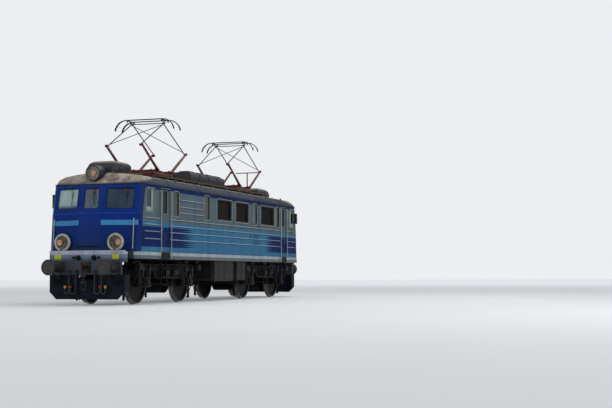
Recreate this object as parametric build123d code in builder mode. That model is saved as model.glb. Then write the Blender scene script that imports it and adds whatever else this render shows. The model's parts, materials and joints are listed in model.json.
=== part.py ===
from build123d import *
import os
from math import atan2, cos, degrees, radians, sin, sqrt

os.makedirs("parts", exist_ok=True)

# Electric locomotive with a cab at each end, two bogies of two axles and two pantographs.
# Millimetres. X forward, Y to the left, Z up from the tips of the wheel flanges.

# Clearances
seat_gap = 0.3
door_gap = 10
running_gap = 0.8
open_pivot_gap = 24

# Wheels and axles
flange_height = 28
tread_radius = 625
back_to_back = 1360
rim_width = 138
rim_depth = 80
flange_width = 32
web_thickness = 34
hub_radius = 150
hub_width = 190
axle_radius = 92
journal_radius = 70
journal_end = 1130
rail_top = flange_height
axle_height = rail_top + tread_radius

# Bogies
bogie_pitch = 8500
wheelbase = 3050
frame_inner = 985
frame_thickness = 110
frame_top = 1190
frame_arch = 1010
frame_belly = 760
frame_overhang = 705
frame_half_length = wheelbase / 2 + frame_overhang
belly_half = wheelbase / 2 - 645
arch_half = wheelbase / 2 - 445
frame_end_drop = 120
frame_end_slope = 90
transom_half = 210
transom_bottom = 900
end_beam_depth = 150
end_beam_height = 120
pad_radius = 360

# Brakes and sanding gear
block_gap = 8
block_thickness = 55
block_half_height = 150
block_inset = 6
hanger_radius = 16
hanger_pin = 20
hanger_height = 1090
beam_radius = 25
beam_offset = 38
beam_drop = 70
sand_start = wheelbase / 2 + 460
sand_end = wheelbase / 2 + 675
sand_width = 145
sand_bottom = 1010
sand_pipe = 13
sand_pipe_place = 1165
sand_nozzle = 560
nozzle_height = 130

# Axleboxes and their springs
box_half_width = 165
box_half_height = 150
box_inner = 975
box_outer = 1160
cover_radius = 115
cover_depth = 40
wing_reach = 400
wing_half = 70
wing_drop = 90
wing_thickness = 36
guide_half = 20
guide_depth = 100
spring_offset = 285
spring_radius = 82

# Traction motors
motor_radius = 385
motor_half_length = 520
motor_offset = 560
motor_height = 690
bearing_radius = 160
bearing_width = 150
bearing_place = 430
bearing_arm_start = 100
bearing_arm_end = 200
bearing_arm_half = 110
motor_seat_reach = 120
motor_seat_half = 120
motor_seat_height = 130
motor_link_inset = 30
motor_link_radius = 60

# Underframe
body_half_width = 1470
sill_proud = 12
sill_width = 92
sill_bottom = 1332
sill_top = 1535
floor_thickness = 60
headstock_face = 7337.5
headstock_depth = 240
headstock_half = 1190
headstock_bottom = 1235
headstock_lip = 35
lip_gap = 5
buffer_plate_bottom = 880
buffer_plate_half = 1120
buffer_plate_thickness = 48
bolster_half = 420
bolster_bottom = 1400
box_set_in = 30
box_panel = 12
ladder_set_in = 140
ladder_bar = 48
ladder_bar_half = 12
ladder_bar_place = 175
ladder_bar_set_back = 62
ladder_foot = 520
ladder_levels = (560, 800, 1040)
tread_thickness = 22

# Body shell
wall = 60
cut_reach = 50
crease = 2640
cantrail = 3498
nose_centre = 7230
nose_corner = 6930
side_end = 6800
nose_flat = 330
corner_half = 1370
lean_low = 80
lean_high = 170
windscreen_bottom = 2776
windscreen_top = 3363
centre_pane = 480
outer_pane = 800
pane_radius = 45
glass_thickness = 8
glass_inset = 24

# Roof
roof_wall = 50
roof_crown = 3850
roof_shoulder = 1060
shoulder_height = 3785
roof_haunch = 1345
haunch_height = 3672
brow_run = 420
gutter_proud = 16
gutter_height = 30
gutter_end = 6480
seam_places = (-4900, -2600, 0, 2600, 4900)
seam_width = 50
seam_proud = 9
walkway_place = 940
walkway_width = 260
walkway_length = 9600
walkway_height = 3860
walkway_thickness = 25
walkway_posts = 8
walkway_post_width = 50
walkway_post_height = 120

# Cab side doors
door_centre = 5240
door_width = 580
door_top = 3400
door_thickness = 45
door_set_in = 5
handle_place = 200
handle_half = 60
handle_proud = 12
handle_bottom = 2300
handle_top = 2330
hinge_inset = 5
hinge_stand = 16
hinge_barrel = 14
hinge_pin = 7
hinge_height = 80
hinge_leaf_gap = 2
strap_length = 90
hinge_levels = (1800, 2500, 3200)
door_pane_width = 290
door_pane_bottom = 2690
door_pane_top = 3370

# Side ribs pressed into the panels
rib_width = 44
rib_height = 12
rib_angle = 60
rib_door_gap = 40
rib_end_gap = 200
rib_levels = (1913, 2130, 2332, 2522)
upper_rib_start = 2350
upper_rib_end = 4210
upper_rib_levels = (2752, 2937, 3153)

# Rooms
bulkhead_place = 4800
bulkhead_thickness = 60
bulkhead_drop = 20
machine_half_length = 3900
machine_half_width = 700
machine_top = 3100
gangway_half = 300
gangway_top = 3450
gangway_door_gap = 5
gangway_door_inset = 10

# Buffers and draw gear
buffer_height = rail_top + 1060
buffer_spread = 875
buffer_end = 7957.5
buffer_head_radius = 225
buffer_case_radius = 130
buffer_rod_radius = 105
buffer_base_width = 360
buffer_base_height = 330
buffer_base_corner = 40
buffer_base_thickness = 25
hook_reach = 300
hook_thickness = 60
shunter_step_place = 930
shunter_step_half = 130
shunter_step_low = 680
shunter_step_high = 915
shunter_step_depth = 170
shunter_bar = 16

# Lamps
lamp_spread = 853
lamp_height = rail_top + 1778
lamp_radius = 250
lamp_face = 7230
lamp_depth = 260
roof_lamp_height = rail_top + 3790
roof_lamp_radius = 235
roof_lamp_face = 7010
roof_lamp_depth = 520

# Pantographs
pantograph_place = 3450
shaft_height = rail_top + 4100
shaft_offset = 490
shaft_radius = 35
knee_offset = 1620
knee_height = rail_top + 4790
knee_half = 605
upper_knee_half = 545
head_height = rail_top + 5635
head_half = 590
lower_arm_radius = 26
lower_arm_foot = 46
upper_arm_radius = 17
brace_radius = 11
knee_pin_radius = 20
head_pin_radius = 14
base_half_width = 560
base_bar = 60
base_reach = 700
base_top = shaft_height - 48
shaft_hub_radius = 46
shaft_hub_half = 34
knee_hub_radius = 42
knee_hub_half = 30
eye_wall = 12
eye_half = 11
brace_start = 0.06
skate_rise = 110
skate_spread = 240
skate_flat = 640
skate_horn = 385
skate_drop = 330
skate_radius = 16


def span_box(x0, x1, y0, y1, z0, z1, mode=Mode.ADD):
    """Block between two values along each axis"""
    with Locations(((x0 + x1) / 2, (y0 + y1) / 2, (z0 + z1) / 2)):
        Box(x1 - x0, y1 - y0, z1 - z0, mode=mode)


def rod(start, end, radius, mode=Mode.ADD):
    """Round bar from one point to another"""
    run = Vector(*end) - Vector(*start)
    with BuildSketch(Plane(origin=start, z_dir=run)) as section:
        Circle(radius)
    extrude(section.sketch, amount=run.length, mode=mode)


def plan_points(back, inset):
    """Plan of the whole body, its ends moved back and its sides set in"""
    slope = (nose_centre - nose_corner) / (corner_half - nose_flat)
    facet = sqrt(1 + slope ** 2)
    corner_x = nose_corner - back - inset * facet + slope * inset
    centre_x = nose_centre - back - inset
    flat_y = nose_flat - inset * (facet - 1) / slope
    half = (
        (centre_x, flat_y),
        (corner_x, corner_half - inset),
        (side_end - back, body_half_width - inset),
    )
    quarter = list(half)
    left = quarter + [(-x, y) for x, y in reversed(quarter)]
    return left + [(-x, -y) for x, y in left]


def plan_face(back, inset, mode=Mode.ADD):
    """Filled plan of the whole body"""
    Polygon(*plan_points(back, inset), align=None, mode=mode)


def nose_band(z0, z1, back0, back1, inset, thickness, mode=Mode.ADD):
    """Upright wall round the front nose between two levels, leaning back as it rises"""
    lean = Vector(back0 - back1, 0, z1 - z0)
    with BuildSketch(Plane.XY.offset(z0)) as band:
        plan_face(back0, inset)
        plan_face(back0, inset + thickness, mode=Mode.SUBTRACT)
        with Locations((side_end - back0, 0)):
            Rectangle(3 * side_end, 3 * body_half_width, align=(Align.MAX, Align.CENTER),
                      mode=Mode.SUBTRACT)
    extrude(band.sketch, amount=lean.length, dir=lean, mode=mode)


def tapered_rod(start, end, start_radius, end_radius):
    """Round bar that narrows from one point to another"""
    run = Vector(*end) - Vector(*start)
    with BuildSketch(Plane(origin=start, z_dir=run)) as low:
        Circle(start_radius)
    with BuildSketch(Plane(origin=end, z_dir=run)) as high:
        Circle(end_radius)
    loft([low.sketch, high.sketch])


facet_angle = degrees(atan2(nose_centre - nose_corner, corner_half - nose_flat))
facet_middle = (nose_flat + corner_half) / 2
facet_x = (nose_centre + nose_corner) / 2 - lean_low - lean_high / 2


def windscreen_prisms(shrink, mode):
    """Blocks through the three front windows, smaller all round by a gap"""
    height = windscreen_top - windscreen_bottom - 2 * shrink
    middle = (windscreen_top + windscreen_bottom) / 2
    places = ((0, centre_pane, 0), (1, outer_pane, facet_angle), (-1, outer_pane, -facet_angle))
    for side, width, turn in places:
        origin = (facet_x, side * facet_middle, middle)
        direction = (cos(radians(turn)), sin(radians(turn)), 0)
        across = (-sin(radians(turn)), cos(radians(turn)), 0)
        with BuildSketch(Plane(origin=origin, x_dir=across, z_dir=direction)) as opening:
            RectangleRounded(width - 2 * shrink, height, pane_radius)
        extrude(opening.sketch, amount=400, both=True, mode=mode)


# Openings along the left side: start, end, bottom, top, corner radius
narrow = 80
left_panes = (
    (5980, 6500, 2700, 3380, 60),
    (-6500, -5980, 2700, 3380, 60),
    (4260, 4680, 2640, 3400, narrow),
    (1870, 2300, 2640, 3420, narrow),
    (-2440, -2060, 2640, 3400, narrow),
    (-4780, -4400, 2640, 3400, narrow),
)
left_intakes = (
    (-30, 1240, 2680, 3370, 20),
    (-1620, -400, 2680, 3370, 20),
    (-4230, -2850, 2680, 3370, 20),
)
# Upright mouldings between the intakes, and blind louvre slots lower down: place, bottom, top
post_places = (-215, -2590)
post_width = 56
post_proud = 10
louvre_width = 26
louvre_depth = 24
louvre_slots = (
    (-1760, 2140, 2320), (-1840, 2140, 2320), (-2060, 1900, 2320), (-2200, 1900, 2320),
    (-2300, 1900, 2320), (-2400, 1900, 2320), (-2480, 1900, 2320),
)


def side_window(start, end, bottom, top, radius, shrink, y0, y1, mode):
    """Rounded block across the left wall"""
    with BuildSketch(Plane.XZ.offset(-y1)) as opening:
        with Locations(((start + end) / 2, (bottom + top) / 2)):
            RectangleRounded(end - start - 2 * shrink, top - bottom - 2 * shrink, radius)
    extrude(opening.sketch, amount=y1 - y0, mode=mode)


# Whole body as one filled form, which everything outside is seated on
roof_back = lean_low + lean_high
roof_loft_top = roof_crown + 50


def roof_profile(drop):
    """Arched outline across the body, lowered and narrowed by a drop"""
    edge = body_half_width - drop
    shoulder = roof_shoulder - drop / 3
    with BuildLine() as arch:
        ThreePointArc((-edge, cantrail), (drop * 0.8 - roof_haunch, haunch_height - drop * 0.7),
                      (-shoulder, shoulder_height - drop))
        ThreePointArc((-shoulder, shoulder_height - drop), (0, roof_crown - drop),
                      (shoulder, shoulder_height - drop))
        ThreePointArc((shoulder, shoulder_height - drop),
                      (roof_haunch - drop * 0.8, haunch_height - drop * 0.7),
                      (edge, cantrail))
        Line((edge, cantrail), (-edge, cantrail))
    make_face(arch.edges())


def roof_form(drop):
    """Filled roof between its sloping ends, smaller by a drop"""
    with BuildPart() as form:
        with BuildSketch(Plane.YZ.offset(-nose_centre)) as section:
            roof_profile(drop)
        extrude(section.sketch, amount=2 * nose_centre)
        with BuildSketch(Plane.XY.offset(cantrail)) as low:
            plan_face(roof_back, drop)
        with BuildSketch(Plane.XY.offset(roof_loft_top)) as high:
            plan_face(roof_back + brow_run, drop)
        loft([low.sketch, high.sketch], ruled=True, mode=Mode.INTERSECT)
    return form


roof_solid = roof_form(0)
roof_void = roof_form(roof_wall)

with BuildPart() as body_form:
    levels = ((sill_top, 0), (crease, lean_low), (cantrail, roof_back))
    for (z0, back0), (z1, back1) in zip(levels, levels[1:]):
        with BuildSketch(Plane.XY.offset(z0)) as low:
            plan_face(back0, 0)
        with BuildSketch(Plane.XY.offset(z1)) as high:
            plan_face(back1, 0)
        loft([low.sketch, high.sketch], ruled=True)
    add(roof_solid.part)

# Side walls with windows, doorways, intakes and pressed ribs
wall_inner = body_half_width - wall
hinge_x = door_centre - door_width / 2 + hinge_inset
hinge_y = wall_inner - hinge_stand
with BuildPart() as side_left:
    with BuildSketch(Plane.XZ.offset(-body_half_width)):
        with BuildLine():
            crease_end = side_end - lean_low
            top_end = crease_end - lean_high
            Polyline(
                (-side_end, sill_top), (side_end, sill_top), (crease_end, crease),
                (top_end, cantrail), (-top_end, cantrail), (-crease_end, crease), close=True,
            )
        make_face()
    extrude(amount=wall)
    rib_stop = door_width / 2 + rib_door_gap
    rib_spans = (
        (door_centre + rib_stop, side_end - rib_end_gap),
        (rib_stop - door_centre, door_centre - rib_stop),
        (rib_end_gap - side_end, -door_centre - rib_stop),
    )
    for level in rib_levels:
        for start, end in rib_spans:
            with BuildSketch(Plane.YZ.offset(start)):
                with Locations((body_half_width, level)):
                    Trapezoid(rib_width, rib_height, rib_angle, rotation=-90, align=(Align.CENTER, Align.MIN))
            extrude(amount=end - start)
    for level in upper_rib_levels:
        with BuildSketch(Plane.YZ.offset(upper_rib_start)):
            with Locations((body_half_width, level)):
                Trapezoid(rib_width, rib_height, rib_angle, rotation=-90, align=(Align.CENTER, Align.MIN))
        extrude(amount=upper_rib_end - upper_rib_start)
    for place in post_places:
        span_box(place - post_width / 2, place + post_width / 2, body_half_width - post_proud,
                 body_half_width + post_proud, crease, cantrail - post_width)
    for pane in left_panes + left_intakes:
        side_window(*pane, 0, wall_inner - cut_reach, body_half_width + cut_reach, Mode.SUBTRACT)
    for place, bottom, top in louvre_slots:
        span_box(place - louvre_width / 2, place + louvre_width / 2, body_half_width - louvre_depth,
                 body_half_width + louvre_depth, bottom, top, Mode.SUBTRACT)
    for end in (1, -1):
        span_box(end * door_centre - door_width / 2, end * door_centre + door_width / 2,
                 wall_inner - cut_reach, body_half_width + cut_reach, sill_top - cut_reach, door_top,
                 Mode.SUBTRACT)
        for level in hinge_levels:
            x = end * hinge_x
            rod((x, hinge_y, level - hinge_height), (x, hinge_y, level + hinge_height), hinge_pin)
            for tip in (-1, 1):
                near = level + tip * (hinge_height / 2 + hinge_leaf_gap)
                far = level + tip * hinge_height
                edge = x - end * 3 * hinge_barrel
                span_box(min(edge, x), max(edge, x), hinge_y - hinge_pin, wall_inner,
                         min(near, far), max(near, far))

with BuildPart() as side_right:
    add(side_left.part.rotate(Axis.Z, 180))

# Cab fronts: a flat centre, two swept facets and two corner posts
with BuildPart() as cab_front:
    nose_band(sill_top, crease, 0, lean_low, 0, wall)
    nose_band(crease, cantrail, lean_low, lean_low + lean_high, 0, wall)
    windscreen_prisms(0, Mode.SUBTRACT)

with BuildPart() as cab_rear:
    add(cab_front.part.rotate(Axis.Z, 180))

# Glass of the front windows and of the fixed side windows
with BuildPart() as pane_prisms:
    windscreen_prisms(seat_gap, Mode.ADD)

with BuildPart() as window_glass:
    nose_band(crease, cantrail, lean_low, lean_low + lean_high, glass_inset, glass_thickness)
    add(pane_prisms.part, mode=Mode.INTERSECT)
    for pane in left_panes:
        side_window(*pane, seat_gap, body_half_width - glass_inset - glass_thickness,
                    body_half_width - glass_inset, Mode.ADD)
    add(window_glass.part.rotate(Axis.Z, 180))

# Slatted grilles in the large side openings
slat_pitch = 95
slat_width = 60
slat_thickness = 8
slat_turn = 35
slat_bite = 2
grille_border = 30
grille_set_in = 8
grille_depth = 42
with BuildPart() as intake_grilles:
    for start, end, bottom, top, radius in left_intakes:
        face = body_half_width - grille_set_in
        side_window(start, end, bottom, top, radius, seat_gap, face - grille_depth, face, Mode.ADD)
        side_window(start, end, bottom, top, radius, grille_border, wall_inner,
                    body_half_width, Mode.SUBTRACT)
        inner = end - start - 2 * grille_border
        count = int(inner / slat_pitch)
        height = top - bottom - 2 * (grille_border - slat_bite)
        with Locations(((start + end) / 2, face - grille_depth / 2, (bottom + top) / 2)):
            with GridLocations(inner / count, 1, count, 1):
                Box(slat_width, slat_thickness, height, rotation=(0, 0, slat_turn))
    add(intake_grilles.part.rotate(Axis.Z, 180))

# Roof skin with sloping ends and gutters
with BuildPart() as roof:
    add(roof_solid.part)
    for place in seam_places:
        with BuildSketch(Plane.YZ.offset(place - seam_width / 2)) as section:
            roof_profile(-seam_proud)
        extrude(section.sketch, amount=seam_width)
    add(roof_void.part, mode=Mode.SUBTRACT)
    for end in (0, 180):
        with BuildPart(mode=Mode.PRIVATE) as lip:
            nose_band(cantrail, cantrail + gutter_height, roof_back, roof_back, -gutter_proud,
                      gutter_proud + roof_wall)
        add(lip.part.rotate(Axis.Z, end))
    for side in (1, -1):
        inner = side * (body_half_width - gutter_proud)
        outer = side * (body_half_width + gutter_proud)
        span_box(-gutter_end, gutter_end, min(inner, outer), max(inner, outer),
                 cantrail, cantrail + gutter_height)

with BuildPart() as roof_walkways:
    for side in (1, -1):
        span_box(-walkway_length / 2, walkway_length / 2,
                 side * walkway_place - walkway_width / 2, side * walkway_place + walkway_width / 2,
                 walkway_height, walkway_height + walkway_thickness)
        with Locations((0, side * walkway_place, walkway_height)):
            with GridLocations(walkway_length / walkway_posts, 1, walkway_posts, 1):
                Box(walkway_post_width, walkway_width, walkway_post_height,
                    align=(Align.CENTER, Align.CENTER, Align.MAX))
    add(body_form.part, mode=Mode.SUBTRACT)

# Underframe: floor, sills, bolsters and headstocks
with BuildPart() as underframe:
    with BuildSketch(Plane.XY.offset(sill_bottom)):
        plan_face(0, -sill_proud)
        plan_face(0, sill_width - sill_proud, mode=Mode.SUBTRACT)
    extrude(amount=sill_top - sill_bottom)
    with BuildSketch(Plane.XY.offset(sill_top - floor_thickness)):
        plan_face(0, 0)
    extrude(amount=floor_thickness)
    for end in (1, -1):
        span_box(end * bogie_pitch / 2 - bolster_half, end * bogie_pitch / 2 + bolster_half,
                 sill_width - body_half_width, body_half_width - sill_width,
                 bolster_bottom, sill_top - floor_thickness)
        x_back = end * (headstock_face - headstock_depth)
        x_face = end * headstock_face
        span_box(min(x_back, x_face), max(x_back, x_face), -headstock_half, headstock_half,
                 headstock_bottom, sill_top)
        x_lip = end * (nose_centre + lip_gap)
        span_box(min(x_lip, x_face), max(x_lip, x_face), -headstock_half, headstock_half,
                 sill_top, sill_top + headstock_lip)
        x_plate = end * (headstock_face - buffer_plate_thickness)
        span_box(min(x_plate, x_face), max(x_plate, x_face), -buffer_plate_half, buffer_plate_half,
                 buffer_plate_bottom, headstock_bottom)

# Obstacle deflectors below the headstocks
deflector_bottom = rail_top + 150
deflector_thickness = 16
deflector_half = 1200
deflector_corner = 210
deflector_opening = 520
deflector_opening_height = 130
wing_length = 300
stay_length = 160
stay_place = 700
stay_half = 15
stay_lift = 220
with BuildPart() as deflectors:
    plate_x = headstock_face - buffer_plate_thickness
    with BuildSketch(Plane.YZ.offset(plate_x)):
        with BuildLine():
            Polyline(
                (-deflector_half, buffer_plate_bottom - seat_gap),
                (deflector_half, buffer_plate_bottom - seat_gap),
                (deflector_half, deflector_bottom + deflector_corner),
                (deflector_half - deflector_corner, deflector_bottom),
                (deflector_corner - deflector_half, deflector_bottom),
                (-deflector_half, deflector_bottom + deflector_corner), close=True,
            )
        make_face()
        with Locations((0, buffer_plate_bottom)):
            Rectangle(deflector_opening, 2 * deflector_opening_height, mode=Mode.SUBTRACT)
    extrude(amount=deflector_thickness)
    for side in (1, -1):
        edge = side * (deflector_half - deflector_thickness / 2)
        span_box(plate_x - wing_length, plate_x, edge - deflector_thickness / 2,
                 edge + deflector_thickness / 2, deflector_bottom + deflector_corner,
                 buffer_plate_bottom - seat_gap)
        span_box(plate_x - stay_length, plate_x, side * stay_place - stay_half, side * stay_place + stay_half,
                 deflector_bottom + stay_lift, buffer_plate_bottom - seat_gap)
    add(deflectors.part.rotate(Axis.Z, 180))

# Side buffers: case, plunger and round head
case_length = 330
collar_length = 70
collar_proud = 22
head_thickness = 42
head_neck = 60
head_edge = 12
head_back_edge = 14
with BuildPart() as buffers:
    for side in (1, -1):
        with BuildSketch(Plane.YZ.offset(headstock_face)):
            with Locations((side * buffer_spread, buffer_height)):
                RectangleRounded(buffer_base_width, buffer_base_height, buffer_base_corner)
        extrude(amount=buffer_base_thickness)
        axis_point = (0, side * buffer_spread, buffer_height)
        with BuildSketch(Plane(origin=axis_point, x_dir=(1, 0, 0), z_dir=(0, -1, 0))) as outline:
            with BuildLine() as turned:
                Polyline(
                    (headstock_face, 0), (headstock_face, buffer_case_radius + collar_proud),
                    (headstock_face + collar_length, buffer_case_radius + 4),
                    (headstock_face + case_length, buffer_case_radius - 6),
                    (headstock_face + case_length, buffer_rod_radius),
                    (buffer_end - head_thickness - head_neck, buffer_rod_radius),
                    (buffer_end - head_thickness, buffer_head_radius - head_back_edge),
                    (buffer_end - head_thickness + head_back_edge, buffer_head_radius),
                    (buffer_end - head_edge, buffer_head_radius),
                    (buffer_end, buffer_head_radius - head_edge), (buffer_end, 0), close=True,
                )
            make_face(turned.edges())
        revolve(outline.sketch, axis=Axis(axis_point, (1, 0, 0)))
    add(buffers.part.rotate(Axis.Z, 180))

# Draw hooks with screw couplings hanging from them
link_radius = 17
link_half = 60
hook_plate_half = 150
hook_plate_thickness = 20
pin_reach = 120
pin_radius = 25
pin_proud = 20
screw_reach = 150
screw_radius = 21
screw_proud = 25
nut_radius = 27
nut_proud = 30
nut_drops = (250, 430)
shackle_reach = 130
shackle_drop = 640
# Outline of the hook: forward of the headstock, above the middle of the buffers
hook_outline = (
    (0, -70), (150, -60), (hook_reach, -20), (hook_reach, 120), (hook_reach - 60, 120),
    (hook_reach - 75, 50), (130, 50), (100, 70), (0, 70),
)
with BuildPart() as couplings:
    with BuildSketch(Plane.XZ.offset(-hook_thickness / 2)):
        with BuildLine():
            Polyline(*[(headstock_face + x, buffer_height + z) for x, z in hook_outline], close=True)
        make_face()
    extrude(amount=hook_thickness)
    span_box(headstock_face, headstock_face + hook_plate_thickness, -hook_plate_half, hook_plate_half,
             buffer_height - hook_plate_half, buffer_height + hook_plate_half)
    pin_x = headstock_face + pin_reach
    screw_x = headstock_face + screw_reach
    shackle_x = headstock_face + shackle_reach
    top_nut, low_nut = (buffer_height - drop for drop in nut_drops)
    shackle_z = buffer_height - shackle_drop
    rod((pin_x, -link_half - pin_proud, buffer_height),
        (pin_x, link_half + pin_proud, buffer_height), pin_radius)
    for side in (1, -1):
        y = side * link_half
        rod((pin_x, y, buffer_height), (screw_x, y, top_nut), link_radius)
        rod((screw_x, y, low_nut), (shackle_x, y, shackle_z), link_radius)
    for level in (top_nut, low_nut):
        rod((screw_x, -link_half - nut_proud, level), (screw_x, link_half + nut_proud, level), nut_radius)
    rod((screw_x, 0, top_nut + screw_proud), (screw_x, 0, low_nut - screw_proud), screw_radius)
    rod((shackle_x, -link_half - link_radius, shackle_z), (shackle_x, link_half + link_radius, shackle_z),
        link_radius)
    add(couplings.part.rotate(Axis.Z, 180))

# Headlamps: a deep drum with two lights on each swept facet and one large lamp on each cab roof
lamp_recess = 45
lamp_rim = 60
roof_lamp_recess = 90
roof_lamp_rim = 30
light_offset = 92
light_radius = 78
lamp_glass_in = 12
lamp_glass_out = 6
roof_glass_in = 16
roof_glass_out = 8
with BuildPart() as headlamps:
    for side in (1, -1):
        y = side * lamp_spread
        rod((lamp_face - lamp_depth, y, lamp_height), (lamp_face, y, lamp_height), lamp_radius)
        rod((lamp_face - lamp_recess, y, lamp_height), (lamp_face, y, lamp_height),
            lamp_radius - lamp_rim, Mode.SUBTRACT)
        for inner in (1, -1):
            spot = y + inner * light_offset
            rod((lamp_face - lamp_recess, spot, lamp_height),
                (lamp_face - lamp_recess / 2, spot, lamp_height), light_radius)
    rod((roof_lamp_face - roof_lamp_depth, 0, roof_lamp_height),
        (roof_lamp_face, 0, roof_lamp_height), roof_lamp_radius)
    rod((roof_lamp_face - roof_lamp_recess, 0, roof_lamp_height),
        (roof_lamp_face, 0, roof_lamp_height), roof_lamp_radius - roof_lamp_rim, Mode.SUBTRACT)
    rod((roof_lamp_face - roof_lamp_recess, 0, roof_lamp_height),
        (roof_lamp_face - roof_lamp_recess / 2, 0, roof_lamp_height), light_radius)
    add(body_form.part, mode=Mode.SUBTRACT)
    add(headlamps.part.rotate(Axis.Z, 180))

with BuildPart() as lamp_glass:
    for side in (1, -1):
        rod((lamp_face - lamp_glass_in, side * lamp_spread, lamp_height),
            (lamp_face - lamp_glass_out, side * lamp_spread, lamp_height), lamp_radius - lamp_rim - seat_gap)
    rod((roof_lamp_face - roof_glass_in, 0, roof_lamp_height),
        (roof_lamp_face - roof_glass_out, 0, roof_lamp_height), roof_lamp_radius - roof_lamp_rim - seat_gap)
    add(lamp_glass.part.rotate(Axis.Z, 180))

# Handrails: two beside each door and one on each front corner
rail_radius = 14
rail_stand = 50
foot_radius = rail_radius - 3
rail_place = door_width / 2 + 60
rail_foot = 30
rail_end = 20
front_rail_y = 1285
front_rail_low = rail_top + 1590
front_rail_high = rail_top + 2470
front_rail_proud = 40
front_rail_lean = 66
front_foot_reach = 30
# Feet of the front rail: level, how far back the nose leans there
front_feet = ((front_rail_low + 30, 4), (front_rail_high - 30, 68))
with BuildPart() as handrails:
    line = body_half_width + rail_stand
    for place, foot, root in (
        (door_centre + rail_place, sill_top + rail_foot, body_half_width),
        (door_centre - rail_place, sill_bottom + rail_foot, body_half_width + sill_proud),
    ):
        rod((place, line, foot), (place, line, door_top - rail_end), rail_radius)
        rod((place, root, foot + rail_end), (place, line, foot + rail_end), foot_radius)
        rod((place, body_half_width, door_top - 2 * rail_end),
            (place, line, door_top - 2 * rail_end), foot_radius)
    front_x = nose_corner + (corner_half - front_rail_y) * (nose_centre - nose_corner) / (
        corner_half - nose_flat)
    rail_x = front_x + front_rail_proud
    rod((rail_x, front_rail_y, front_rail_low), (rail_x - front_rail_lean, front_rail_y, front_rail_high),
        rail_radius)
    for level, back in front_feet:
        foot_x = front_x - back + front_foot_reach / 2
        rod((foot_x - front_foot_reach, front_rail_y, level), (foot_x + front_foot_reach, front_rail_y, level),
            foot_radius)
    add(body_form.part, mode=Mode.SUBTRACT)
    mirror(about=Plane.XZ)
    add(handrails.part.rotate(Axis.Z, 180))

# Ladders under the doors
with BuildPart() as door_steps:
    tread_in = body_half_width - ladder_set_in
    bar_in = tread_in + ladder_bar_set_back
    tread_half = ladder_bar_place - ladder_bar_half
    for side in (-ladder_bar_place, ladder_bar_place):
        span_box(door_centre + side - ladder_bar_half, door_centre + side + ladder_bar_half, bar_in,
                 bar_in + ladder_bar, ladder_foot, sill_bottom)
    for level in ladder_levels:
        span_box(door_centre - tread_half, door_centre + tread_half, tread_in, body_half_width,
                 level, level + tread_thickness)
    step_back = headstock_face + seat_gap
    for bar in (shunter_step_place - shunter_step_half, shunter_step_place + shunter_step_half):
        span_box(step_back, step_back + shunter_bar, bar - shunter_bar, bar + shunter_bar,
                 shunter_step_low, shunter_step_high)
    span_box(step_back, step_back + shunter_step_depth,
             shunter_step_place - shunter_step_half - shunter_bar,
             shunter_step_place + shunter_step_half + shunter_bar,
             shunter_step_low, shunter_step_low + shunter_bar)
    mirror(about=Plane.XZ)
    add(door_steps.part.rotate(Axis.Z, 180))

# Cab interiors: bulkheads, desks and seats
with BuildPart() as cab_bulkheads:
    span_box(bulkhead_place - bulkhead_thickness, bulkhead_place, seat_gap - wall_inner,
             wall_inner - seat_gap, sill_top, cantrail - bulkhead_drop)
    span_box(bulkhead_place - bulkhead_thickness, bulkhead_place, -gangway_half, gangway_half,
             sill_top, gangway_top, Mode.SUBTRACT)
    door_half = gangway_half - gangway_door_gap
    span_box(bulkhead_place - bulkhead_thickness + gangway_door_inset, bulkhead_place - gangway_door_inset,
             -door_half, door_half, sill_top, gangway_top - gangway_door_gap)
    add(cab_bulkheads.part.rotate(Axis.Z, 180))

desk_half = 1150
# Outline of the desk: place along the cab, height
desk_outline = (
    (6300, sill_top), (6600, sill_top), (6600, 2460), (6480, 2560), (6180, 2480), (6180, 2400), (6300, 2380),
)
seat_place = 720
seat_post_place = 5650
seat_post_radius = 60
seat_height = 1980
# Cushion and back of a seat: rear, front, half width, bottom, top
seat_parts = ((5430, 5880, 230, seat_height, 2080), (5380, 5460, 220, 2080, 2640))
with BuildPart() as cab_fittings:
    with BuildSketch(Plane.XZ.offset(desk_half)):
        with BuildLine():
            Polyline(*desk_outline, close=True)
        make_face()
    extrude(amount=-2 * desk_half)
    for side in (1, -1):
        middle = side * seat_place
        rod((seat_post_place, middle, sill_top), (seat_post_place, middle, seat_height), seat_post_radius)
        for rear, front, half, bottom, top in seat_parts:
            span_box(rear, front, middle - half, middle + half, bottom, top)
    add(cab_fittings.part.rotate(Axis.Z, 180))

# Converters and resistors in the machine room, as one heavy block
with BuildPart() as machine_block:
    span_box(-machine_half_length, machine_half_length, -machine_half_width, machine_half_width,
             sill_top, machine_top)

# Equipment under the floor
# Boxes on the left side: rear, front, bottom
under_boxes = ((-220, 1440, 655), (-1350, -540, 680))
box_back = 760
panel_gap = 30
panel_half_height = 130
panel_rise = 150
with BuildPart() as battery_boxes:
    face = body_half_width - box_set_in
    for start, end, low in under_boxes:
        quarter = (end - start) / 4
        halfway = (low + sill_bottom) / 2
        span_box(start, end, box_back, face, low, sill_bottom)
        for middle in (start + quarter, end - quarter):
            for level in (halfway - panel_rise, halfway + panel_rise):
                span_box(middle - quarter + panel_gap, middle + quarter - panel_gap, face, face + box_panel,
                         level - panel_half_height, level + panel_half_height)
    add(battery_boxes.part.rotate(Axis.Z, 180))

tank_place = 450
tank_half_length = 1300
tank_height = 1080
tank_radius = 190
tank_hanger_place = 900
tank_hanger_half = 25
tank_hanger_depth = 30
with BuildPart() as air_reservoirs:
    for place in (-tank_place, tank_place):
        rod((-tank_half_length, place, tank_height), (tank_half_length, place, tank_height), tank_radius)
        for hanger in (-tank_hanger_place, tank_hanger_place):
            span_box(hanger - tank_hanger_half, hanger + tank_hanger_half, place - tank_hanger_depth,
                     place + tank_hanger_depth, tank_height, sill_top - floor_thickness)

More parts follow.
